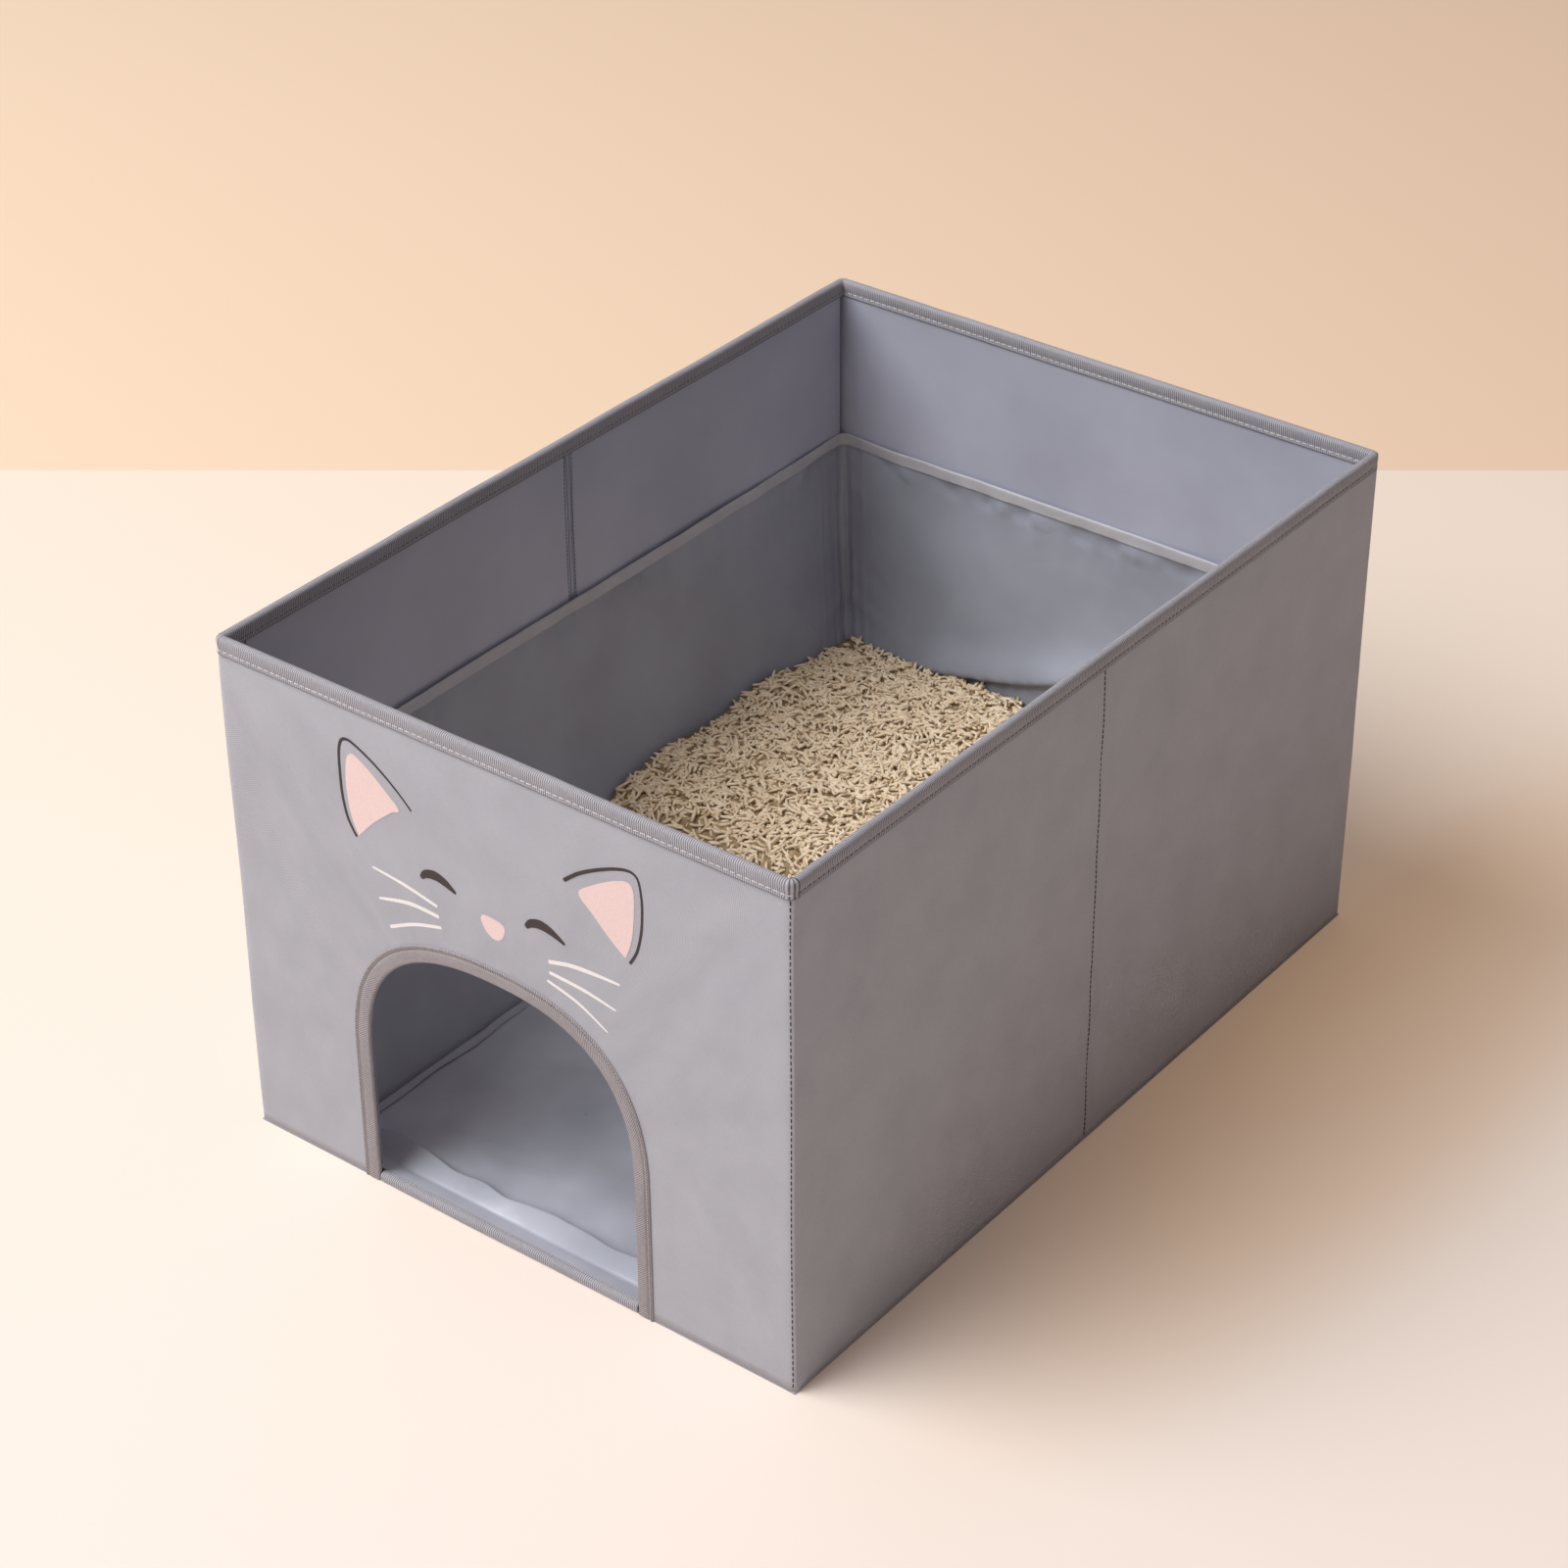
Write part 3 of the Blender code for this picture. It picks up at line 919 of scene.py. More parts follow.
def frontBoard():
    # its ends stop short of the cloth's round corners, and its opening of the pinched binding
    low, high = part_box("front_board")
    grow = covers["doorBackMargin"] + 1.0 * mm
    reach = halfWidth - covers["roundAcross"]
    extra = [cornerTurn(side, side * reach, high.z, grow) for side in (leftSide, rightSide)]

    def lay(stop, share):
        x0, z0 = archPoint(stop, grow)
        x1, z1, _ = rayToEdge(stop, grow, reach, high.z)
        return drift(Vector((x0 + (x1 - x0) * share, low.y, z0 + (z1 - z0) * share)))

    mesh = wovenGrid(archStops(low.z, extra), steps(0.0, 1.0, 20), lay)
    piece = finishPiece("frontBoard", mesh, paints["board"], high.y - low.y)
    dress(piece, "front", "stiff_board", "front_board")


def lining(name, mesh, body):
    piece = finishPiece(name, mesh, paints["lining"], covers["clothThick"])
    dress(piece, body, "grey_cloth")


def frontInnerCloth():
    grow = covers["doorBackMargin"]
    reach, top = innerWidth, wallTop
    extra = [cornerTurn(side, side * reach, top, grow) for side in (leftSide, rightSide)]
    stops = archStops(wallBottom, extra)
    rings = steps(0.0, 1.0, covers["rings"])

    def lay(stop, share):
        x0, z0 = archPoint(stop, grow)
        x1, z1, _ = rayToEdge(stop, grow, reach, top)
        return drift(Vector((x0 + (x1 - x0) * share, -innerLength, z0 + (z1 - z0) * share)))

    lining("frontInnerCloth", wovenGrid(stops, rings, lay, flip=True), "front")


def wallRows():
    heights = steps(wallBottom, wallTop, covers["rows"])
    return [("fold", wallBottom)] + [("up", z) for z in heights]


def outerLay(stop, row):
    # the outer cloth at one stop of the plan, turned under at the bottom
    z = row[1]
    offset = halfWall - (covers["underFold"] if row[0] == "fold" else 0.0) - clothTuck(z)
    x, y = clothPoint(stop, offset)
    if stop[0] == "side":
        away = (y - seamAt[stop[1]]) / covers["seamDipWidth"]
        x -= stop[1] * covers["seamDip"] * math.exp(-away * away)
    return drift(Vector((x, y, z)))


def outerCloth(name, stops, *nodes):
    mesh = wovenGrid(stops, wallRows(), outerLay)
    piece = finishPiece(name, mesh, paints["cloth"], covers["clothThick"])
    if nodes:
        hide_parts(*nodes)
    return piece


def sideStops(side, first, last, pitch=7 * mm):
    # finer near the seam and at the ends, where the cloth has to bend
    low, high = min(first, last), max(first, last)
    seam = seamAt[side]
    places = set(steps(low, high, max(2, round((high - low) / pitch))))
    for k in range(-9, 10):
        near = seam + k * 0.55 * mm
        if low + 0.4 * mm < near < high - 0.4 * mm:
            places.add(near)
    for k in range(1, 9):
        places.add(low + k * 0.5 * mm)
        places.add(high - k * 0.5 * mm)
    ordered = sorted(places, reverse=side == leftSide)
    kept = ordered[:1]
    for y in ordered[1:]:
        if abs(y - kept[-1]) > 0.2 * mm:
            kept.append(y)
    return [onSide(side, y) for y in kept]


def bendAt(piece, parent, child, fold, before, after):
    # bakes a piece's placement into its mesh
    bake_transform(piece)


bends = {"corner": 2.4 * mm, "middle": 6.0 * mm, "overlap": 9.0 * mm}


def outerCloths():
    rear = [onSide(rightSide, stripEnd[rightSide, rearEnd])]
    rear += cornerStops(rightSide, rearEnd, 8)
    rear += [onEnd(rearEnd, x) for x in steps(0.2, -0.2, 60)]
    rear += cornerStops(leftSide, rearEnd, 8)
    rear += [onSide(leftSide, stripEnd[leftSide, rearEnd])]
    nodes = ["rear_cover", "rear_left_corner_strip", "rear_right_corner_strip"]
    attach(outerCloth("rearOuterCloth", rear, *nodes), "rear")

    turn, half, overlap = bends["corner"], bends["middle"] / 2, bends["overlap"]
    near, far = stripEnd[rightSide, frontEnd], stripEnd[rightSide, rearEnd]
    seam = seamAt[rightSide]
    meet = seam + overlap
    piece = outerCloth("rightRearOuterCloth", sideStops(rightSide, meet, far), "right_rear_cover")
    bendAt(piece, "rear", "right_rear", "right_rear_fold", far, far - turn)
    stops = sideStops(rightSide, near, meet)
    piece = outerCloth("rightFrontOuterCloth", stops, "right_front_cover")
    bendAt(piece, "right_rear", "right_front", "right_middle_fold", seam + half, seam - half)

    near, far = stripEnd[leftSide, frontEnd], stripEnd[leftSide, rearEnd]
    seam = seamAt[leftSide]
    meet, other = seam + overlap, seam - overlap
    piece = outerCloth("leftRearOuterCloth", sideStops(leftSide, far, meet), "left_rear_cover")
    bendAt(piece, "rear", "left_rear", "left_rear_fold", far, far - turn)
    piece = outerCloth("leftMiddleOuterCloth", sideStops(leftSide, meet, other), "left_front_cover")
    bendAt(piece, "left_rear", "left_front", "left_middle_fold", seam + half, seam - half)
    piece = outerCloth("leftFrontOuterCloth", sideStops(leftSide, other, near), "left_front_cover")
    bendAt(piece, "left_front", "front", "left_front_fold", near + turn, near)


# Inner cloth: flat over the boards, stepping back to the stitched band at the fold

inner = {
    "edgeRound": 0.5 * mm,
    "edgeDepth": 3.2 * mm,
    "band": 3.0 * mm,
    "bandDepth": 1.2 * mm,
    "bandGap": 0.35 * mm,
    "overhang": 2.5 * mm,
    "cornerSlack": 0.5 * mm,
}


def innerRows():
    return steps(wallBottom, wallTop, covers["rows"])


def sideInnerCloth(side, end):
    body = f"{sideNames[side]}_{endNames[end]}"
    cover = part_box(f"{body}_cover")
    far = cover[1].y if end == rearEnd else cover[0].y
    edge = seamAt[side] + end * inner["band"]
    seam = seamAt[side] + end * inner["bandGap"]
    r, deep = inner["edgeRound"], inner["bandDepth"]
    turns = steps(0, pi / 2, 5)
    # plan profile as (depth behind the inner face, place along the wall)
    profile = [(inner["edgeDepth"], far), (r, far)]
    profile += [(r - r * math.sin(a), far - end * (r - r * math.cos(a))) for a in turns[1:]]
    profile += [(0.0, y) for y in steps(far - end * 8 * mm, edge + end * 4 * mm, 38)]
    profile += [(r - r * math.cos(a), edge + end * (r - r * math.sin(a))) for a in turns]
    profile += [(deep, edge)]
    profile += [(deep, y) for y in steps(edge - end * 0.6 * mm, seam, 5)]

    def lay(stop, z):
        depth, y = stop
        return drift(Vector((side * (innerWidth + depth), y, z)))

    # the profile runs from the corner to the fold, so its outward side depends on the wall
    mesh = wovenGrid(profile, innerRows(), lay, flip=side * end < 0)
    lining(f"{sideNames[side]}{endNames[end].title()}InnerCloth", mesh, body)


def rearInnerCloth():
    reach = innerWidth + inner["overhang"]

    def lay(x, z):
        return drift(Vector((x, innerLength, z)))

    lining("rearInnerCloth", wovenGrid(steps(-reach, reach, 60), innerRows(), lay), "rear")


def cornerInnerCloth(side, end):
    # the slack strip between an end wall and the fold line next to it
    fold = stripEnd[side, end]
    columns = steps(fold, end * (innerLength + 1.0 * mm), 6)

    def lay(y, z):
        share = (y - fold) / (end * innerLength - fold)
        slack = inner["cornerSlack"] * math.sin(pi * share)
        return drift(Vector((side * (innerWidth + slack), y, z)))

    mesh = wovenGrid(columns, innerRows(), lay, flip=side * end > 0)
    lining(f"{endNames[end]}{sideNames[side].title()}CornerCloth", mesh, endNames[end])


def makeWalls():
    frontOuterCloth()
    frontBoard()
    frontInnerCloth()
    rearInnerCloth()
    outerCloths()
    for side in (leftSide, rightSide):
        for end in (frontEnd, rearEnd):
            sideInnerCloth(side, end)
    cornerInnerCloth(rightSide, rearEnd)
    cornerInnerCloth(leftSide, frontEnd)
    for name, node in frame["nodes"].items():
        if name.endswith("_board"):
            node.data.materials.clear()
            node.data.materials.append(paints["board"])
    print("walls covered")


# Ribbed tape round the rim, its section puffed above the row of stitches

rim = {
    "half": 2.95 * mm,
    "cinch": 2.5 * mm,
    "edge": 3.0 * mm,
    "stitchDrop": 8.2 * mm,
    "round": 2.6 * mm,
    "bend": 2.6 * mm,
    "thick": 0.5 * mm,
    "pitch": 4.5 * mm,
    "heave": 0.45 * mm,
    # width of the painted shade line at the tape's edges
    "paintedEdgeShade": 0.55 * mm,
    "crown": 0.8 * mm,                   # it stays at least this far over the board
    "joins": (0.272, 0.285, -0.272),     # runs of tape meet right rear, left rear, left front
    "splitAt": 0.1985,                   # and on the rear wall
    "cornerAt": 0.202,                   # where an end wall's straight run stops
    "cornerStops": 14,
    "stitch": {"length": 3.4 * mm, "width": 0.62 * mm, "pitch": 4.7 * mm},
    "sideStitch": {"length": 2.3 * mm, "width": 0.5 * mm, "pitch": 4.0 * mm},
}


def rimSection():
    look = rim
    leg = [
        (look["edge"], rimDrop),
        (look["edge"] - 0.1 * mm, rimDrop - 0.6 * mm),
        (look["cinch"] + 0.1 * mm, look["stitchDrop"] + 0.8 * mm),
        (look["cinch"], look["stitchDrop"]),
        (look["cinch"] + 0.12 * mm, look["stitchDrop"] - 0.9 * mm),
        (look["half"] - 0.05 * mm, look["stitchDrop"] - 2.2 * mm),
        (look["half"] + 0.12 * mm, look["stitchDrop"] - 3.8 * mm),
    ]
    top = [
        (look["half"] * math.cos(turn), look["round"] - look["round"] * math.sin(turn))
        for turn in steps(0.0, pi, 12)
    ]
    back = [(-offset, drop) for offset, drop in reversed(leg)]
    return leg + top + back


def rimHeave(x, y):
    # the rim rises and falls a little along its run
    slow = rough(x * 13 + 2.0, y * 13, 0.4)
    quick = rough(x * 46, y * 46 + 5.0, 1.9)
    return (slow + 0.45 * quick) * rim["heave"]


def rimLay(stop, part):
    offset, drop = part
    x, y = wallPoint(stop, offset, rim["bend"])
    settle = rimHeave(x, y) * smooth(1 - drop / rimDrop)
    placed = drift(Vector((x, y, rimTop - 0.1 * mm - drop + settle)))
    placed.z = max(placed.z, wallTop + rim["crown"] - drop)
    return placed


def rimStitches(name, stops, inside, look, material):
    offset = rim["cinch"] + 0.1 * mm
    line = []
    for stop in stops:
        if inside and stop[0] == "corner":
            continue
        x, y = wallPoint(stop, -offset if inside else offset, rim["bend"])
        near = wallPoint(stop, 0.0, rim["bend"])
        outward = Vector((x - near[0], y - near[1], 0)).normalized()
        line.append((Vector((x, y, rimTop - 0.45 * mm - rim["stitchDrop"])), outward))
    return stitchRow(name, line, look, material)


def rimTapes():
    pitch = rim["pitch"]
    joinRear, joinLeftRear, joinFront = rim["joins"]

    def sideRun(side, first, last):
        count = max(2, round(abs(last - first) / pitch))
        places = steps(first, last, count)
        for fold in folds.values():
            if fold.x * side > 0:
                places += [fold.y + k * 0.6 * mm for k in range(-7, 8)]
        low, high = min(first, last), max(first, last)
        places = sorted({y for y in places if low <= y <= high}, reverse=last < first)
        kept = places[:1]
        for y in places[1:]:
            if abs(y - kept[-1]) > 0.25 * mm or y == places[-1]:
                kept.append(y)
        return [onSide(side, y) for y in kept]

    def endRun(end, first, last):
        count = max(2, round(abs(last - first) / pitch))
        return [onEnd(end, x) for x in steps(first, last, count)]

    def turned(side, end):
        return cornerStops(side, end, rim["cornerStops"])

    sideEnd = midLength - rim["bend"] - 2.0 * mm
    reach, split = rim["cornerAt"], rim["splitAt"]
    start = stripEnd[rightSide, frontEnd] + 2.2 * mm
    atCorner = 1.2 * mm, -1.2 * mm
    atMiddle = bends["middle"] / 2, -bends["middle"] / 2
    front = sideRun(leftSide, joinFront, -sideEnd) + turned(leftSide, frontEnd)
    front += endRun(frontEnd, -reach, reach)
    front += turned(rightSide, frontEnd) + [onSide(rightSide, start)]
    rearRight = sideRun(rightSide, joinRear, sideEnd) + turned(rightSide, rearEnd)
    rearRight += endRun(rearEnd, reach, split)
    rear = endRun(rearEnd, split, -reach) + turned(leftSide, rearEnd)
    rear += sideRun(leftSide, sideEnd, joinLeftRear)
    right = sideRun(rightSide, start, joinRear)
    left = sideRun(leftSide, joinLeftRear, joinFront)
    runs = {
        "Front": (front, ("left_front", "front", "left_front_fold"), atCorner),
        "Right": (right, ("right_rear", "right_front", "right_middle_fold"), atMiddle),
        "RearRight": (rearRight, ("rear", "right_rear", "right_rear_fold"), atCorner),
        "Rear": (rear, ("rear", "left_rear", "left_rear_fold"), atCorner),
        "Left": (left, ("left_rear", "left_front", "left_middle_fold"), atMiddle),
    }
    stands = {
        "Front": ["front_rim_tape"],
        "Right": ["right_front_rim_tape", "right_rear_rim_tape"],
        "Rear": ["rear_rim_tape"],
        "Left": ["left_rear_rim_tape", "left_front_rim_tape"],
    }
    section = rimSection()[::-1]
    travelled = 0.0
    for name, (stops, (parent, child, fold), (before, after)) in runs.items():
        mesh = wovenGrid(stops, section, rimLay, uvStart=travelled, flip=True)
        line = [wallPoint(stop, 0.0, rim["bend"]) for stop in stops]
        travelled += sum(math.dist(here, there) for here, there in zip(line, line[1:]))
        pieces = [finishPiece(f"rimTape{name}", mesh, paints["rib"], rim["thick"])]
        for inside, face in ((False, "Outside"), (True, "Inside")):
            for kind, look, thread in (
                ("Side", rim["sideStitch"], paints["greyThread"]),
                ("", rim["stitch"], paints["paleThread"]),
            ):
                part = [stop for stop in stops if (stop[0] == "side") == (kind == "Side")]
                if len(part) > 2:
                    row = f"rimTape{name}{face}{kind}Stitches"
                    pieces.append(rimStitches(row, part, inside, look, thread))
        at = folds[fold].y
        for piece in pieces:
            bendAt(piece, parent, child, fold, at + before, at + after)
        if name in stands:
            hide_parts(*stands[name])
    print("rim bound with tape")


# Binding round the cat door, and the tape on its sill

binding = {
    "width": 11.6 * mm,
    "half": 2.95 * mm,
    "lip": 1.7 * mm,
    "ridge": 2.4 * mm,
    "groove": 0.5 * mm,
    "thick": 0.4 * mm,
    "backHalf": 2.85 * mm,
    "legDrop": 0.9 * mm,
    "stitchIn": 1.2 * mm,
    "stitch": {"length": 1.7 * mm, "width": 0.45 * mm, "pitch": 2.4 * mm},
}


def sewnRow(name, line, look, thread, body="front"):
    dress(stitchRow(name, line, look, paints[thread]), body, "woven_tape")


def doorTape():
    # a sewn ridge along the outer edge, a groove, the ribbed band, and a lip pinched thin
    look = binding
    stops = archStops(wallBottom - look["legDrop"])
    width, half, r = look["width"], look["half"], look["lip"]
    edge, low = width - look["ridge"], half - look["groove"]
    # pairs of (distance from the opening's edge, height over the wall's middle)
    front = [(width, half - 0.75 * mm), (width - 0.1 * mm, half - 0.15 * mm)]
    front += [(width - 0.6 * mm, half + 0.1 * mm), (width - look["ridge"] * 0.6, half + 0.12 * mm)]
    front += [(edge, half - 0.05 * mm), (edge - 0.3 * mm, low), (edge - 0.65 * mm, low)]
    front += [(edge - 1.0 * mm, half - 0.1 * mm), (edge - 2.0 * mm, half + 0.1 * mm)]
    front += [(5.4 * mm, half + 0.16 * mm), (3.6 * mm, half + 0.1 * mm), (2.4 * mm, half)]
    lip = [(r - r * math.sin(turn), half - r + r * math.cos(turn)) for turn in steps(0.0, pi, 10)]
    back = [(3.5 * mm, -0.95 * mm), (5.5 * mm, -1.65 * mm), (7.5 * mm, -2.25 * mm)]
    back += [(9.0 * mm, -2.6 * mm), (10.4 * mm, -2.8 * mm), (width, -look["backHalf"])]
    section = front + lip + back

    def lay(stop, part):
        grow, forward = part
        x, z = archPoint(stop, grow)
        return drift(Vector((x, -midLength - forward, z)))

    mesh = wovenGrid(stops, section[::-1], lay)
    piece = finishPiece("doorTape", mesh, paints["binding"], look["thick"])
    dress(piece, "front", "woven_tape", "door_tape")
    for face, forward in (("Front", half + 0.1 * mm), ("Back", 0.05 * mm - look["backHalf"])):
        outward = Vector((0, math.copysign(1, -forward), 0))
        line = []
        for stop in stops:
            x, z = archPoint(stop, width - look["stitchIn"])
            line.append((Vector((x, -midLength - forward, z)), outward))
        sewnRow(f"door{face}Stitches", line, look["stitch"], "greyThread")


sill = {
    "half": 2.95 * mm,
    "legHalf": 2.75 * mm,
    "round": 2.3 * mm,
    "heave": 0.3 * mm,
    "thick": 0.5 * mm,
}


def sillTape():
    height = sillTop - wallBottom
    half, r = sill["half"], sill["round"]
    leg = [(sill["legHalf"], height), (sill["legHalf"] + 0.05 * mm, height * 0.7)]
    top = [(half * math.cos(turn), r - r * math.sin(turn)) for turn in steps(0, pi, 10)]
    section = leg + top + [(-offset, drop) for offset, drop in reversed(leg)]
    reach = door["halfWidth"] - 0.5 * mm
    columns = steps(door["middle"] - reach, door["middle"] + reach, 60)

    def lay(x, part):
        offset, drop = part
        heave = sill["heave"] * rough(x * 30, 0, 3.0) * (1 - drop / height)
        return drift(Vector((x, -midLength - offset, sillTop - drop + heave)))

    mesh = wovenGrid(columns, section[::-1], lay, flip=True)
    piece = finishPiece("sillTape", mesh, paints["rib"], sill["thick"])
    dress(piece, "front", "woven_tape", "sill_tape")
    up = Vector((0, 0.3, 1)).normalized()
    line = [(Vector((x, -midLength + 1.4 * mm, sillTop - 0.35 * mm)), up) for x in columns]
    sewnRow("sillStitches", line, binding["stitch"], "paleThread")


# Upright seams sewn in dark thread

seams = {
    "corner": {"length": 2.9 * mm, "width": 0.75 * mm, "pitch": 4.3 * mm},
    "fold": {"length": 2.8 * mm, "width": 0.8 * mm, "pitch": 3.6 * mm},
    "band": {"length": 2.4 * mm, "width": 0.5 * mm, "pitch": 3.0 * mm},
}


def uprightSeams():
    top = rimTop - rimDrop - 1.0 * mm

    def column(x, y, outward, wander=0.0):
        line = []
        for z in steps(wallBottom + 2 * mm, top, 60):
            sway = wander * rough(x * 9, y * 9, z * 28)
            line.append((Vector((x, y + sway, z)), outward))
        return line

    def sew(name, line, kind, body):
        sewnRow(name, line, seams[kind], "darkThread", body)

    across = Vector((1, 0, 0))
    slanting = Vector((1, -1, 0)).normalized()
    line = column(*clothPoint(corner(rightSide, frontEnd, 0.5), halfWall), slanting)
    sew("nearCornerSeam", line, "corner", "front")
    x = halfWidth - covers["seamDip"] + 0.12 * mm
    sew("rightSeam", column(x, seamAt[rightSide], across, 1.5 * mm), "fold", "right_front")
    sew("leftSeam", column(-x, seamAt[leftSide], -across, 0.8 * mm), "fold", "left_rear")
    for end in (rearEnd, frontEnd):
        y = stripEnd[leftSide, end] + end * 0.6 * mm
        line = column(-halfWidth, y, -across)
        sew(f"{endNames[end]}LeftSeam", line, "corner", endNames[end])
    for side, sideName in sideNames.items():
        for end, endName in endNames.items():
            y = seamAt[side] + end * (inner["band"] + 0.5 * mm)
            line = column(side * (innerWidth - 0.05 * mm), y, -side * across, 1.2 * mm)
            sew(f"{sideName}{endName.title()}BandStitches", line, "band", f"{sideName}_{endName}")
    print("seams sewn")


# Printed face: outlines in millimetres on the front wall, seen from the front

printFace = {
    "lift": 0.18 * mm,
    "thick": 0.12 * mm,
    "pinks": {
        "leftEarPink": [
            (-103.7, 254.2), (-107.5, 263.4), (-109.7, 272.8), (-110.9, 287.8), (-110.0, 300.5),
            (-108.4, 306.4), (-105.5, 309.4), (-102.1, 309.0), (-95.6, 305.6), (-89.7, 301.5),
            (-78.9, 292.8), (-70.3, 284.6), (-75.7, 281.2), (-81.3, 276.6), (-91.7, 267.3),
        ],
        "rightEarPink": [
            (93.8, 253.0), (98.3, 265.7), (100.5, 279.9), (101.3, 295.0), (100.8, 301.2),
            (98.8, 304.3), (95.2, 304.8), (89.3, 302.6), (83.3, 299.7), (72.3, 292.8),
            (61.4, 283.2), (71.5, 272.6), (83.4, 261.1),
        ],
        "nosePink": [
            (-12.1, 235.0), (-11.3, 237.4), (-8.9, 238.8), (-1.4, 238.7), (3.8, 237.4),
            (5.8, 235.1), (5.2, 230.9), (3.0, 227.0), (-0.1, 224.9), (-3.9, 225.0),
            (-7.6, 227.3), (-10.4, 231.1),
        ],
    },
    "eyes": {
        "leftEye": [
            (-56.2, 244.8), (-52.2, 248.9), (-45.5, 250.4), (-39.0, 249.0), (-33.8, 246.5),
            (-29.9, 244.3),
        ],
        "rightEye": [
            (21.6, 243.4), (25.6, 247.5), (32.0, 249.3), (38.5, 248.3), (44.7, 245.8),
            (49.9, 243.1),
        ],
    },
    "eyeWidths": [2.6, 5.3, 6.4, 5.6, 3.7, 1.5],
    "lines": {
        "leftEarLine": [
            (-105.4, 253.0), (-111.3, 263.3), (-114.4, 278.0), (-115.0, 293.5), (-114.7, 307.4),
            (-112.7, 315.1), (-108.8, 317.9), (-103.1, 317.0), (-91.0, 311.2), (-79.0, 303.4),
            (-69.2, 295.7), (-60.7, 287.8),
        ],
        "rightEarLine": [
            (51.0, 287.1), (61.8, 296.0), (74.6, 303.6), (88.0, 309.9), (97.7, 312.6),
            (103.1, 311.2), (105.4, 306.5), (106.7, 297.0), (106.7, 287.4), (105.5, 274.6),
            (102.0, 260.7), (96.6, 250.6),
        ],
    },
    "lineWidths": {"leftEarLine": (1.9, 2.0, 1.2), "rightEarLine": (2.5, 1.5, 1.9)},
    "whiskers": {
        "leftWhiskerHigh": ([(-94.9, 236.6), (-70.0, 234.1), (-45.1, 229.3)], 1.4, 2.2),
        "leftWhiskerMiddle": ([(-91.3, 216.4), (-66.7, 222.5), (-44.3, 222.5)], 1.6, 2.6),
        "leftWhiskerLow": ([(-84.2, 199.2), (-63.5, 209.4), (-43.0, 215.7)], 2.2, 2.2),
        "rightWhiskerHigh": (
            [(89.0, 232.6), (71.5, 232.0), (53.3, 230.4), (37.1, 226.4)], 1.5, 2.8
        ),
        "rightWhiskerMiddle": ([(85.6, 213.5), (61.8, 217.5), (37.3, 219.2)], 1.3, 2.4),
        "rightWhiskerLow": ([(79.0, 195.5), (57.7, 206.7), (35.5, 212.9)], 1.1, 2.0),
    },
}


def curveThrough(points, share):
    # a smooth curve through the points, at a share of its run
    last = len(points) - 1
    place = min(share * last, last - 1e-6)
    k = int(place)
    t = place - k
    p = [Vector(points[min(max(k + d, 0), last)]) for d in (-1, 0, 1, 2)]
    return 0.5 * (
        2 * p[1]
        + (p[2] - p[0]) * t
        + (2 * p[0] - 5 * p[1] + 4 * p[2] - p[3]) * t * t
        + (3 * p[1] - p[0] - 3 * p[2] + p[3]) * t ** 3
    )


def inkPoint(point):
    flat = Vector((point[0] * mm, -halfLength, point[1] * mm))
    return drift(flat) - Vector((0, printFace["lift"], 0))


def inkStroke(name, points, widthAt, material, count=48):
    length = sum(math.dist(a, b) for a, b in zip(points, points[1:]))

    def lay(share, side):
        here = curveThrough(points, share)
        ahead = curveThrough(points, min(1.0, share + 0.01))
        ahead -= curveThrough(points, max(0.0, share - 0.01))
        across = Vector((-ahead.y, ahead.x)).normalized()
        # the ends of a brush stroke are round
        gone = min(share, 1 - share) * length
        half = widthAt(share) / 2
        if gone < half:
            half = math.sqrt(max(0.0, half * half - (half - gone) ** 2)) + 0.02
        return inkPoint(here + across * side * half)

    rounds = [0.002 * k for k in range(1, 8)]
    shares = sorted(set(steps(0.0, 1.0, count) + rounds + [1 - r for r in rounds]))
    mesh = wovenGrid(shares, [1, 0, -1], lay)
    inkPiece(name, mesh, material)


def inkPatch(name, points, material):
    closed = points + [points[0]]
    ring = [curveThrough(closed, share) for share in steps(0.0, 1.0, 90)[:-1]]
    middle = sum(ring, Vector((0, 0))) / len(ring)

    def lay(k, share):
        return inkPoint(middle.lerp(ring[k % len(ring)], max(share, 0.001)))

    mesh = wovenGrid(range(len(ring) + 1), steps(0.0, 1.0, 10), lay)
    bmesh.ops.remove_doubles(mesh, verts=mesh.verts, dist=0.01 * mm)
    inkPiece(name, mesh, material)


def inkPiece(name, mesh, material):
    bmesh.ops.recalc_face_normals(mesh, faces=mesh.faces)
    mesh.normal_update()
    if sum(face.normal.y for face in mesh.faces) > 0:
        bmesh.ops.reverse_faces(mesh, faces=mesh.faces)
    piece = finishPiece(name, mesh, material, printFace["thick"])
    dress(piece, "front", "grey_cloth")


def printCatFace():
    look = printFace

    def blendWidths(widths):
        def widthAt(share):
            place = share * (len(widths) - 1)
            k = min(int(place), len(widths) - 2)
            return widths[k] + (widths[k + 1] - widths[k]) * (place - k)

        return widthAt

    for name, points in look["pinks"].items():
        inkPatch(name, points, paints["pink"])
    for name, points in look["eyes"].items():
        inkStroke(name, points, blendWidths(look["eyeWidths"]), paints["darkInk"])
    for name, points in look["lines"].items():
        inkStroke(name, points, blendWidths(look["lineWidths"][name]), paints["darkInk"], 90)
    for name, (points, first, last) in look["whiskers"].items():
        inkStroke(name, points, blendWidths((first, last, last * 0.9)), paints["whiteInk"])
    print("face printed")


# Liner: four film walls that hang from their tape and lean in to the floor

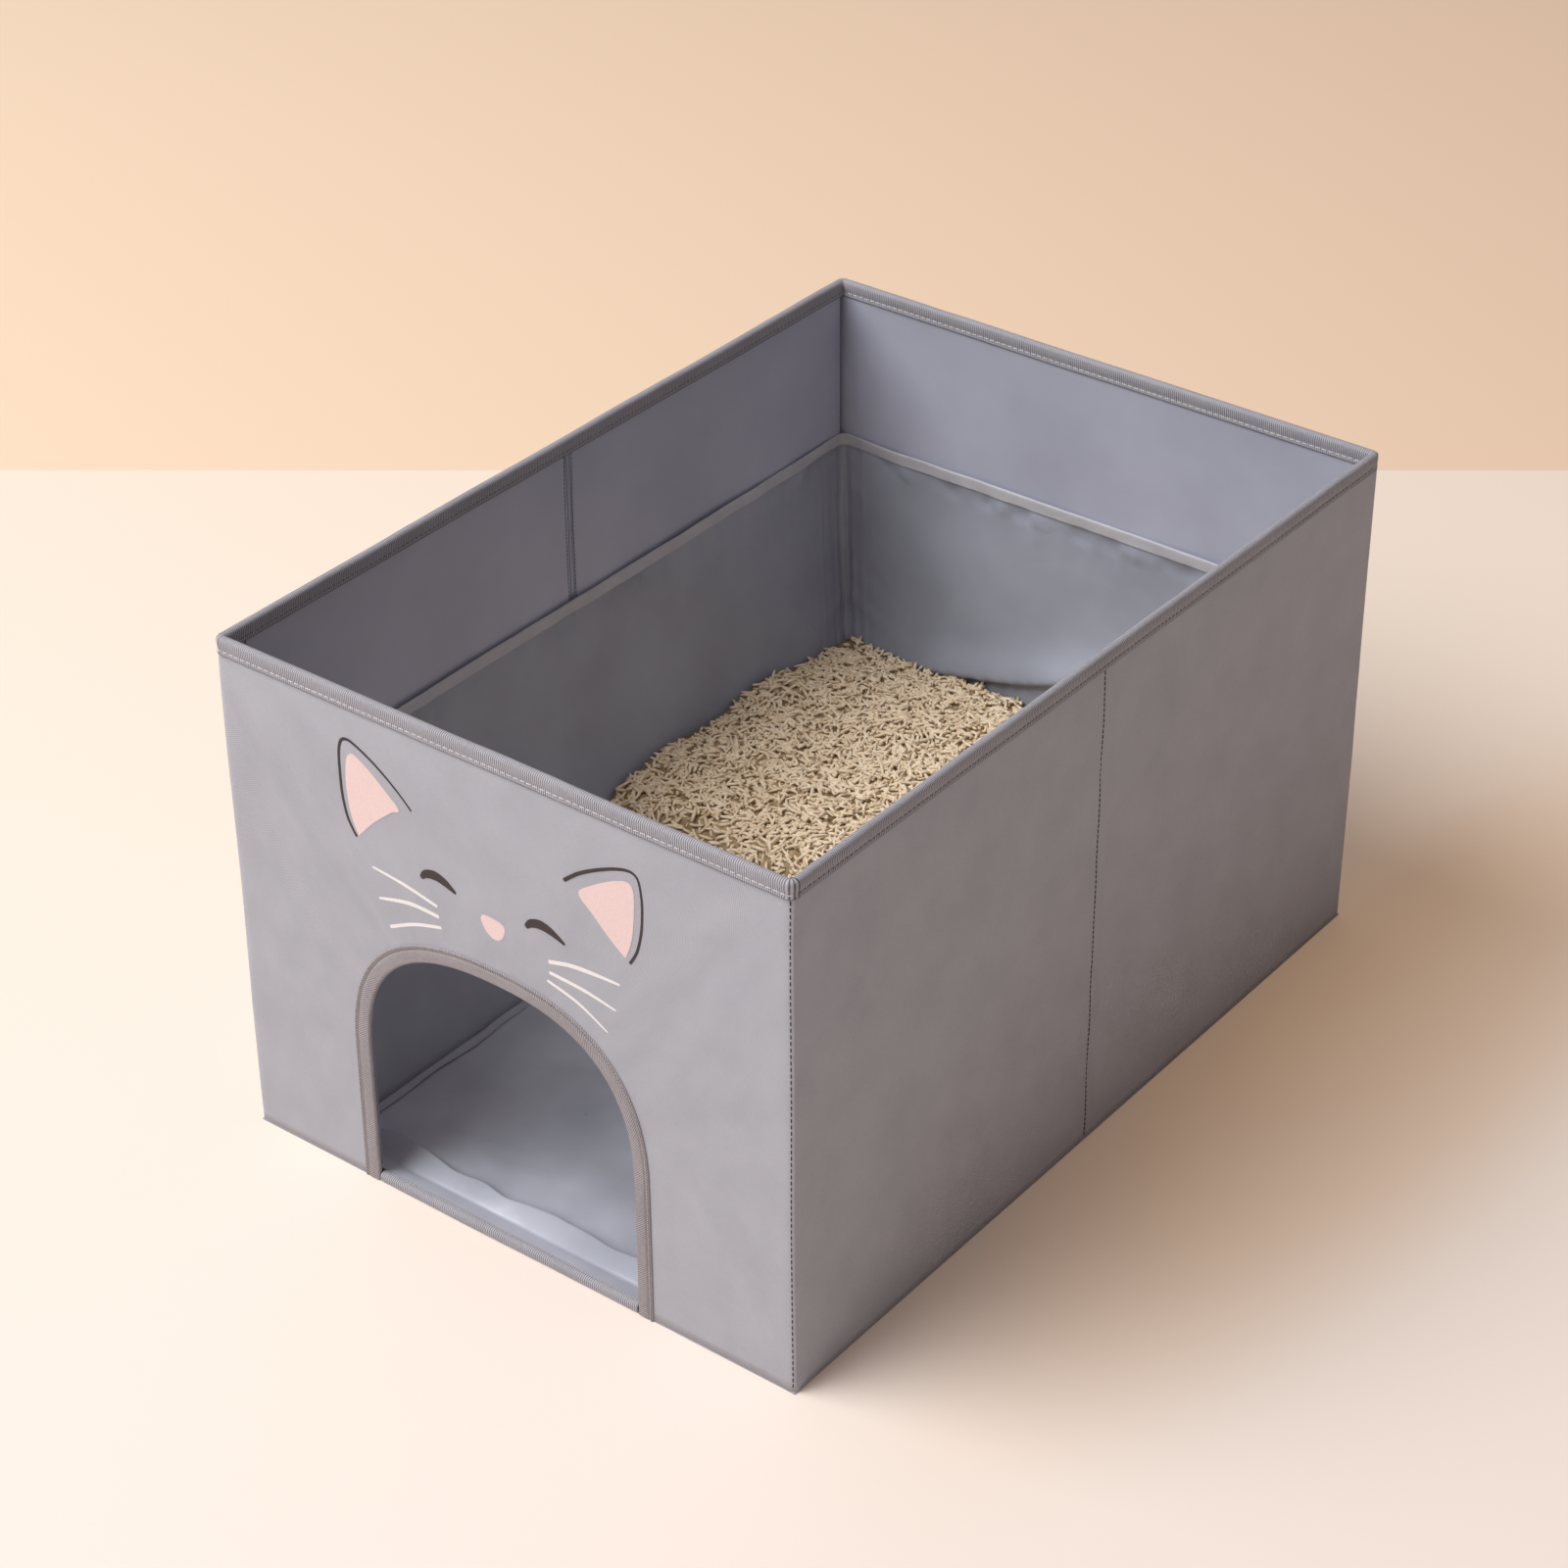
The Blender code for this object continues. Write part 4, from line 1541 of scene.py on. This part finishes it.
liner = {
    "thick": 0.6 * mm,
    "loose": 2.6 * mm,
    "lean": 42.0 * mm,
    "power": 2.2,
    "cornerRound": (2.2 * mm, 5.0 * mm),         # at the top and at the floor
    "rows": 84,
    "bottom": 1.5 * mm,
    "doorMargin": 4.0 * mm,
    "tapeDrop": 8.0 * mm,
    "slack": 1.7 * mm,
    "pucker": 2.8 * mm,
    "pull": 2.0 * mm,
    "pleatDepth": 1.5 * mm,
    "pleatWidth": 8.0 * mm,
    "stitch": {"length": 2.3 * mm, "width": 0.6 * mm, "pitch": 3.9 * mm},
    "keep": 0.006,
    "hem": 3.0 * mm,                             # the tape covers the rest of the height
    "folded": 0.6 * mm,                          # how far off its wall it lies when folded
    "cornerStop": 80,                            # of the 84 steps along a side
}


def linerOffset(z):
    return liner["loose"] + liner["lean"] * max(0.0, 1 - z / linerTop) ** liner["power"]


def linerRound(z):
    top, low = liner["cornerRound"]
    return top + (low - top) * smooth(1 - z / linerTop)


def linerSlack(x, y, z):
    # soft waves, larger at the loose top edge, and small gathers under the tape
    wide = rough(x * 9 + 1.3, y * 9, z * 6 + 4.0)
    fine = rough(x * 34, y * 34 + 2.0, z * 9)
    loose = 0.45 + 0.55 * smooth(z / linerTop)
    down = linerTop - liner["tapeDrop"] - z
    under = smooth(1 - abs(down - 7 * mm) / (9 * mm))
    under += 0.4 * smooth(1 - abs(down - 16 * mm) / (22 * mm))
    gathers = rough(x * 62, y * 62, 0.3) + 0.6 * rough(x * 130, y * 130, 2.3)
    return liner["slack"] * (loose * wide + 0.35 * fine) + liner["pucker"] * gathers * under


def cornerPull(near, x, z):
    # short slanting creases that run into each corner
    strength = math.exp(-near / (34 * mm)) * smooth(near / (5 * mm))
    strength *= 0.4 + 0.6 * smooth(z / linerTop)
    slant = rough(near * 9, z * 62 + near * 34, 8.0 + math.copysign(3.0, x))
    return liner["pull"] * strength * max(-0.5, 1.6 * slant)


def linerPoint(stop, z, lift=0.0):
    # stop is (kind, side, end, share); the walls lean, so their corners move in with depth
    kind, side, end, share = stop
    offset = linerOffset(z) - lift
    endOffset = offset if end == rearEnd else liner["loose"] - lift
    hx, hy = innerWidth - offset, innerLength - endOffset
    r = linerRound(z)
    if kind == "side":
        seam = seamAt[side]
        y = seam + share * (end * (hy - r) - seam)
        x, normal = side * hx, Vector((-side, 0, 0))
    elif kind == "corner":
        c, s = math.cos(share * pi / 2), math.sin(share * pi / 2)
        x, y = side * (hx - r + r * c), end * (hy - r + r * s)
        normal = Vector((-side * c, -end * s, 0))
    else:
        x, y = share * (hx - r), end * hy
        normal = Vector((0, -end, 0))
    point = Vector((x, y, z))
    near = math.hypot(max(0.0, hx - abs(x)), max(0.0, hy - abs(y)))
    pleat = math.exp(-(near / (22 * mm)) ** 2) * math.cos(2 * pi * near / liner["pleatWidth"])
    hold = smooth((linerTop - z) / (30 * mm))
    push = linerSlack(x, y, z) * (0.3 + 0.7 * smooth(z / (20 * mm)))
    push += liner["pleatDepth"] * pleat * (0.35 + 0.65 * hold) * smooth(z / (25 * mm))
    push += cornerPull(near, x, z)
    if end == rearEnd and kind == "end":
        push += rearCrease(x, z)
    return point + normal * max(push, -0.8 * offset)


def rearCrease(x, z):
    # one long fold rising from the litter along the rear wall, sharp along its underside
    along = smooth((x + 132 * mm) / (30 * mm)) * smooth((58 * mm - x) / (50 * mm))
    line = 114 * mm + 0.26 * x + 2.0 * mm * math.sin(x * 40)
    away = z - line
    away /= 17 * mm if away > 0 else 2.2 * mm
    return 7.5 * mm * along * math.exp(-away * away)


def linerStops(side, end):
    straight = [("side", side, end, share) for share in steps(0.0, 1.0, 84)]
    return straight + [("corner", side, end, share) for share in steps(0.0, 1.0, 14)[1:]]


def linerPanel(name, stops, flip):
    rows = steps(liner["bottom"], linerTop - liner["hem"], liner["rows"])
    mesh = wovenGrid(stops, rows, linerPoint, flip=flip)
    wall = finishPiece(name, mesh, paints["film"], liner["thick"])
    return wall, *linerTape(f"{name}Tape", stops, flip)


def hangPanel(pieces, body, fold, axis, anchor, *nodes):
    # each film wall, with its tape and stitches, goes on the body of the wall that it hangs on, in
    # place of the solids it stands for
    for piece, node in zip(pieces, nodes):
        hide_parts(node)
    for piece, slot in zip(pieces, ("liner_film", "satin_tape", "satin_tape")):
        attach(piece, body)
        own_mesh(piece)


def hangOnEnd(pieces, end, *nodes):
    fold = "left_rear_fold" if end == rearEnd else "left_front_fold"
    against = (0, end * (innerLength - liner["folded"]), 0)
    hangPanel(pieces, endNames[end], fold, (0, 1, 0), against, *nodes)


def linerWalls():
    foldOf = {
        "left_rear": "left_rear_fold",
        "left_front": "left_front_fold",
        "right_rear": "right_rear_fold",
        "right_front": "right_middle_fold",
    }
    corners = []
    for side, sideName in sideNames.items():
        for end, endName in endNames.items():
            body = f"{sideName}_{endName}"
            name = f"liner{sideName.title()}{endName.title()}"
            stops = linerStops(side, end)
            flip = side * end > 0
            long = (side, end) in [(rightSide, rearEnd), (leftSide, frontEnd)]
            if long:
                # past the fold of a long corner strip the liner stays with the end wall
                past = stops[liner["cornerStop"]:]
                corners.append((end, linerPanel(f"{name}Corner", past, flip)))
                stops = stops[: liner["cornerStop"] + 1]
            pieces = linerPanel(name, stops, flip)
            against = (side * (innerWidth - liner["folded"]), 0, 0)
            nodes = [f"liner_{body}", f"liner_{body}_tape"]
            hangPanel(pieces, body, foldOf[body], (1, 0, 0), against, *nodes)
            wall, tape, _ = pieces
    for end, pieces in corners:
        hangOnEnd(pieces, end)
    stops = [("end", rightSide, rearEnd, share) for share in steps(1.0, -1.0, 130)]
    wall, tape, row = linerPanel("linerRear", stops, True)
    hangOnEnd((wall, tape, row), rearEnd, "liner_rear", "liner_rear_tape")
    frontLiner()
    print("liner hung")


satinTape = {
    "half": 1.2 * mm,
    "round": 0.9 * mm,
    "thick": 0.4 * mm,
    "wave": 1.1 * mm,
    "stitchOff": 0.55 * mm,
    "stitchUp": 1.9 * mm,
}


def linerTape(name, stops, flip):
    # satin tape folded over the liner's top edge
    look = satinTape
    drop, half, r = liner["tapeDrop"], look["half"], look["round"]
    hemTop = linerTop - liner["hem"]
    section = [(-half, drop * share) for share in (1, 0.66, 0.33)]
    section += [(-half * math.cos(turn), r - r * math.sin(turn)) for turn in steps(0, pi, 6)]
    section += [(half, drop * share) for share in (0.33, 0.66, 1)]

    def lay(stop, part):
        lift, down = part
        z = linerTop - 0.2 * mm - down
        base = linerPoint(stop, min(z, hemTop) if down > liner["hem"] else hemTop)
        under = linerTop - 30 * mm
        across = linerPoint(stop, under, 1.0 * mm) - linerPoint(stop, under)
        across.z = 0
        wave = look["wave"] * rough(base.x * 16, base.y * 16, 7.0)
        return Vector((base.x, base.y, z + wave)) + across.normalized() * lift

    def inward(stop):
        out = lay(stop, (0.0, drop)) - lay(stop, (half, drop))
        return Vector((-out.x, -out.y, 0)).normalized()

    mesh = wovenGrid(stops, section, lay, flip=flip)
    tape = finishPiece(name, mesh, paints["satin"], look["thick"])
    sewn = (half + look["stitchOff"], drop - look["stitchUp"])
    line = [(lay(stop, sewn), inward(stop)) for stop in stops]
    thread = paints["paleThread"]
    return tape, stitchRow(f"{name}Stitches", line, liner["stitch"], thread, drifts=False)


def frontLiner():
    grow = liner["doorMargin"]
    top = linerTop - liner["hem"]
    reach = innerWidth - liner["loose"]
    extra = [cornerTurn(side, side * reach, top, grow) for side in (leftSide, rightSide)]
    bottom = sillTop + 1.0 * mm
    stops = archStops(bottom, extra)
    y = -(innerLength - liner["loose"])

    def lay(stop, share):
        x0, z0 = archPoint(stop, grow)
        x1, z1, _ = rayToEdge(stop, grow, reach, top)
        x, z = x0 + (x1 - x0) * share, z0 + (z1 - z0) * share
        limit = innerWidth - linerOffset(z) - linerRound(z)
        x = max(-limit, min(limit, x))
        slack = abs(linerSlack(x, y, z)) * smooth(share * 3)
        return Vector((x, y + slack, z))

    mesh = wovenGrid(stops, steps(0.0, 1.0, 22), lay, flip=True)
    wall = finishPiece("linerFront", mesh, paints["film"], liner["thick"])
    across = [("end", rightSide, frontEnd, share) for share in steps(-1.0, 1.0, 80)]
    tape, row = linerTape("linerFrontTape", across, True)
    hangOnEnd((wall, tape, row), frontEnd, "liner_front", "liner_front_tape")


# Liner floor, creased where it folds up behind the sill

floorFilm = {
    "thick": 0.5 * mm,
    "front": 1.2 * mm,
    "sillRise": 3.4 * mm,            # just behind the sill tape
    "creaseAt": 11.0 * mm,
    "crestAt": 24.0 * mm,
    "crestHigh": 5.4 * mm,
    "crestFall": 3.6 * mm,
    "wander": 7.5 * mm,
    "settled": 62.0 * mm,
    "keep": 0.0015,
    "folded": 0.5 * mm,
}


def crestPlace(x):
    sway = rough(x * 17 + 0.6, 3.1, 0.7) + 0.35 * rough(x * 47, 5.0, 2.2)
    return floorFilm["crestAt"] + floorFilm["wander"] * sway


def crestHigh(x):
    return floorFilm["crestHigh"] * (1 + 0.45 * rough(x * 15, 7.0, 5.0))


def floorPoint(x, row):
    # rows run from the sill to the crease, up to the crest, down behind it, and away
    look = floorFilm
    part, share = row
    low, crest, high = liner["bottom"], crestPlace(x), crestHigh(x)
    if part == "sill":
        return look["creaseAt"] * share, low + look["sillRise"] * (1 - share) ** 0.8
    if part == "rise":
        return look["creaseAt"] + (crest - look["creaseAt"]) * share, low + high * share ** 0.85
    if part == "fall":
        away = (look["settled"] - crest) * share ** 1.5
        fallen = high * math.exp(-away / look["crestFall"])
        return crest + away, low + rolling(x, crest + away) + fallen
    rear = innerLength - linerOffset(low) - 1.0 * mm
    away = look["settled"] + (innerLength + rear - look["settled"]) * share
    return away, low + rolling(x, away)


def rolling(x, away):
    fade = smooth((away - 24 * mm) / (30 * mm)) * smooth((330 * mm - away) / (90 * mm))
    slow = rough(x * 15, away * 22, 0.2)
    quick = rough(x * 48, away * 60, 1.2)
    return fade * mm * (3.2 * max(slow, -0.25) + 1.0 * max(quick, -0.3) + 1.1)


def linerFloor():
    reach = innerWidth - linerOffset(liner["bottom"]) - 1.0 * mm
    front = -innerLength + floorFilm["front"]
    rows = [("sill", share) for share in steps(0.0, 1.0, 8)]
    rows += [("rise", share) for share in steps(0.0, 1.0, 12)[1:]]
    rows += [("fall", share) for share in steps(0.0, 1.0, 26)[1:]]
    rows += [("rest", share) for share in steps(0.0, 1.0, 110)[1:]]

    def lay(x, row):
        edge = smooth((reach - abs(x)) / (12 * mm))
        away, z = floorPoint(x, row)
        raised = (z - liner["bottom"]) * (0.35 + 0.65 * edge)
        return Vector((x, front + away, liner["bottom"] + raised))

    mesh = wovenGrid(steps(-reach, reach, 150), rows, lay)
    piece = finishPiece("linerFloor", mesh, paints["gloss"], floorFilm["thick"])
    dress(piece, "rear", "liner_film", "liner_floor")
    foldFlat(piece)


def linerWelts():
    # the sewn edge between the liner's sides and its floor stands up as a narrow wavy flap
    for side, name in ((leftSide, "leftFloorWelt"), (rightSide, "rightFloorWelt")):
        reach = innerWidth - linerOffset(liner["bottom"]) - 2.0 * mm
        section = [(0.0, 0.8), (1.3, 3.2), (2.2, 3.9), (3.2, 3.6), (4.4, 2.6), (5.4, 2.3)]
        section += [(6.0, 1.3)]
        rows = steps(-innerLength + 6 * mm, 0.2, 150)

        def lay(part, y):
            inward, height = part
            wide = 1 + 0.45 * rough(1.4, y * 24, side)
            lift = 1 + 0.3 * rough(7.4, y * 38, side)
            return Vector((side * (reach - inward * wide * mm), y, 1.6 * mm + height * lift * mm))

        mesh = wovenGrid(section, rows, lay, flip=side == rightSide)
        piece = finishPiece(name, mesh, paints["film"], 0.5 * mm)
        dress(piece, "rear", "liner_film")
        foldFlat(piece)


def baseCloth():
    low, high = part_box("floor_cloth")

    def lay(x, y):
        return Vector((x, y, high.z))

    mesh = wovenGrid(steps(low.x, high.x, 40), steps(low.y, high.y, 60), lay)
    piece = finishPiece("baseCloth", mesh, paints["cloth"], high.z - low.z)
    dress(piece, "rear", "base_cloth", "floor_cloth")
    foldFlat(piece)


# Litter: a bed under thousands of short pressed pellets

litter = {
    "height": 93.0 * mm,
    "crown": 10.0 * mm,
    "mound": 1.6 * mm,
    "moundsAcross": 4,
    "moundsAlong": 7,
    "toe": -45.0 * mm,
    "slope": 70.0 * mm,
    "lump": 2.2 * mm,
    "rearDip": 7.0 * mm,
    "edge": 6.0 * mm,
    "count": 16000,
    "perPiece": 4000,
    "lengths": (4.5 * mm, 11.0 * mm),
    "radius": 1.05 * mm,
    "depth": 5.5 * mm,
    "seed": 4,
    "keep": 0.004,
}


def bedTop(x, y):
    look = litter
    bottom = liner["bottom"] + 1.0 * mm
    across = x / innerWidth
    along = (y - look["toe"]) / (innerLength - look["toe"])
    along = min(1, max(0, along))
    crown = look["crown"] * math.cos(pi / 2 * min(1, abs(across))) * math.sin(pi * along)
    crown += (
        look["mound"]
        * math.sin(look["moundsAcross"] * pi * across)
        * math.sin(look["moundsAlong"] * pi * along)
    )
    lumps = look["lump"] * rough(x * 24, y * 24, 0.5)
    lumps -= look["rearDip"] * smooth((y - 0.19) / 0.09)      # lower along the rear wall
    height = look["height"] - bottom - look["edge"]
    swell = smooth((y - look["toe"]) / look["slope"])
    return bottom + look["edge"] + (height + crown + lumps) * swell


def bedReach(z):
    return innerWidth - linerOffset(z) - 1.6 * mm


def litterBed():
    columns = steps(-1.0, 1.0, 70)
    rows = steps(0.0, 1.0, 70)

    def lay(u, v):
        y = litter["toe"] + v * (innerLength - litter["toe"])
        z = bedTop(u * innerWidth * 0.9, y) - 2.2 * mm
        rear = innerLength - linerOffset(z) - 1.6 * mm
        return Vector((u * bedReach(z), min(y, rear) if v < 1 else rear, z))

    mesh = wovenGrid(columns, rows, lay)
    edges = [edge for edge in mesh.edges if edge.is_boundary]
    skirt = bmesh.ops.extrude_edge_only(mesh, edges=edges)["geom"]
    for vertex in skirt:
        if isinstance(vertex, bmesh.types.BMVert):
            vertex.co.z = liner["bottom"] + 0.8 * mm
            vertex.co.x = max(-bedReach(vertex.co.z), min(bedReach(vertex.co.z), vertex.co.x))
            vertex.co.y = min(vertex.co.y, innerLength - linerOffset(vertex.co.z) - 1.6 * mm)
    floor = [edge for edge in mesh.edges if edge.is_boundary]
    bmesh.ops.contextual_create(mesh, geom=floor)
    bmesh.ops.recalc_face_normals(mesh, faces=mesh.faces)
    # the bed's darker colour is painted shade for the gaps between pellets
    bed = finishPiece("litterBed", mesh, paints["shadedBedPellets"])
    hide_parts("litter_bed")
    return bed


def pelletShape(length, sag, radius):
    mesh = bmesh.new()
    bmesh.ops.create_circle(mesh, segments=5, radius=radius, cap_ends=True)
    ends = mesh.faces[:]
    cuts = 3
    for k in range(cuts):
        grown = bmesh.ops.extrude_face_region(mesh, geom=ends)["geom"]
        if k:
            bmesh.ops.delete(mesh, geom=ends, context="FACES_ONLY")
        ends = [part for part in grown if isinstance(part, bmesh.types.BMFace)]
        moved = [part for part in grown if isinstance(part, bmesh.types.BMVert)]
        bmesh.ops.translate(mesh, verts=moved, vec=(0, 0, 1 / cuts))
    for vertex in mesh.verts:
        share = vertex.co.z
        taper = 0.8 if share < 0.05 or share > 0.95 else 1.0
        bow = sag * math.sin(pi * share)
        x, y = vertex.co.x * taper, vertex.co.y * taper
        vertex.co = ((share - 0.5) * length, x + bow, y)
    bmesh.ops.recalc_face_normals(mesh, faces=mesh.faces)
    return mesh


def pellets():
    look = litter
    random = np.random.default_rng(look["seed"])
    shapes = [
        pelletShape(length, sag, look["radius"])
        for length in steps(*look["lengths"], 4)
        for sag in (0.0, 0.5 * mm, 1.1 * mm)
    ]
    count = look["count"]
    rows = []
    margin, near = 3.0 * mm, 2.0 * mm
    rear = innerLength - margin
    while len(rows) < count:
        x = random.uniform(-innerWidth, innerWidth)
        y = random.uniform(look["toe"] - 4 * mm, rear)
        top = bedTop(x, max(y, look["toe"]))
        z = top - look["depth"] * random.uniform(0, 1) ** 1.6 + 0.8 * mm
        if abs(x) > bedReach(z) - margin or y > innerLength - linerOffset(z) - margin:
            continue
        slopeX = (bedTop(x + near, y) - bedTop(x - near, y)) / (2 * near)
        slopeY = (bedTop(x, y + near) - bedTop(x, y - near)) / (2 * near)
        up = Vector((-slopeX, -slopeY, 1)).normalized()
        up = (up + Vector(random.normal(0, 0.24, 3))).normalized()
        heading = random.uniform(0, 2 * pi)
        ahead = Vector((math.cos(heading), math.sin(heading), 0))
        ahead = (ahead - up * ahead.dot(up)).normalized()
        sideways = up.cross(ahead)
        roll = random.uniform(0, 2 * pi)
        size = random.uniform(0.86, 1.16)
        matrix = np.eye(4)
        matrix[:3, 0] = ahead * size
        matrix[:3, 1] = (sideways * math.cos(roll) + up * math.sin(roll)) * size
        matrix[:3, 2] = (up * math.cos(roll) - sideways * math.sin(roll)) * size
        matrix[:3, 3] = (x, y, max(z, liner["bottom"] + 2.4 * mm))
        rows.append(matrix)
    rows = np.array(rows)
    picks = random.integers(0, len(shapes), len(rows))
    made = []
    share = look["perPiece"]
    for k in range(0, len(rows), share):
        part, name = slice(k, k + share), f"pellets{k // share + 1}"
        made.append(copyOnto(name, shapes, rows[part], picks[part], paints["pellets"]))
    return made


def makeLitter():
    heap = [litterBed()] + pellets()
    for piece in heap:
        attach(piece, "rear")
        foldFlat(piece)
    print("litter poured:", len(heap), "pieces")


paints = makePaints()
makeCamera()
makeStage()
makeWalls()
rimTapes()
doorTape()
sillTape()
uprightSeams()
printCatFace()
linerWalls()
linerFloor()
linerWelts()
baseCloth()
makeLitter()
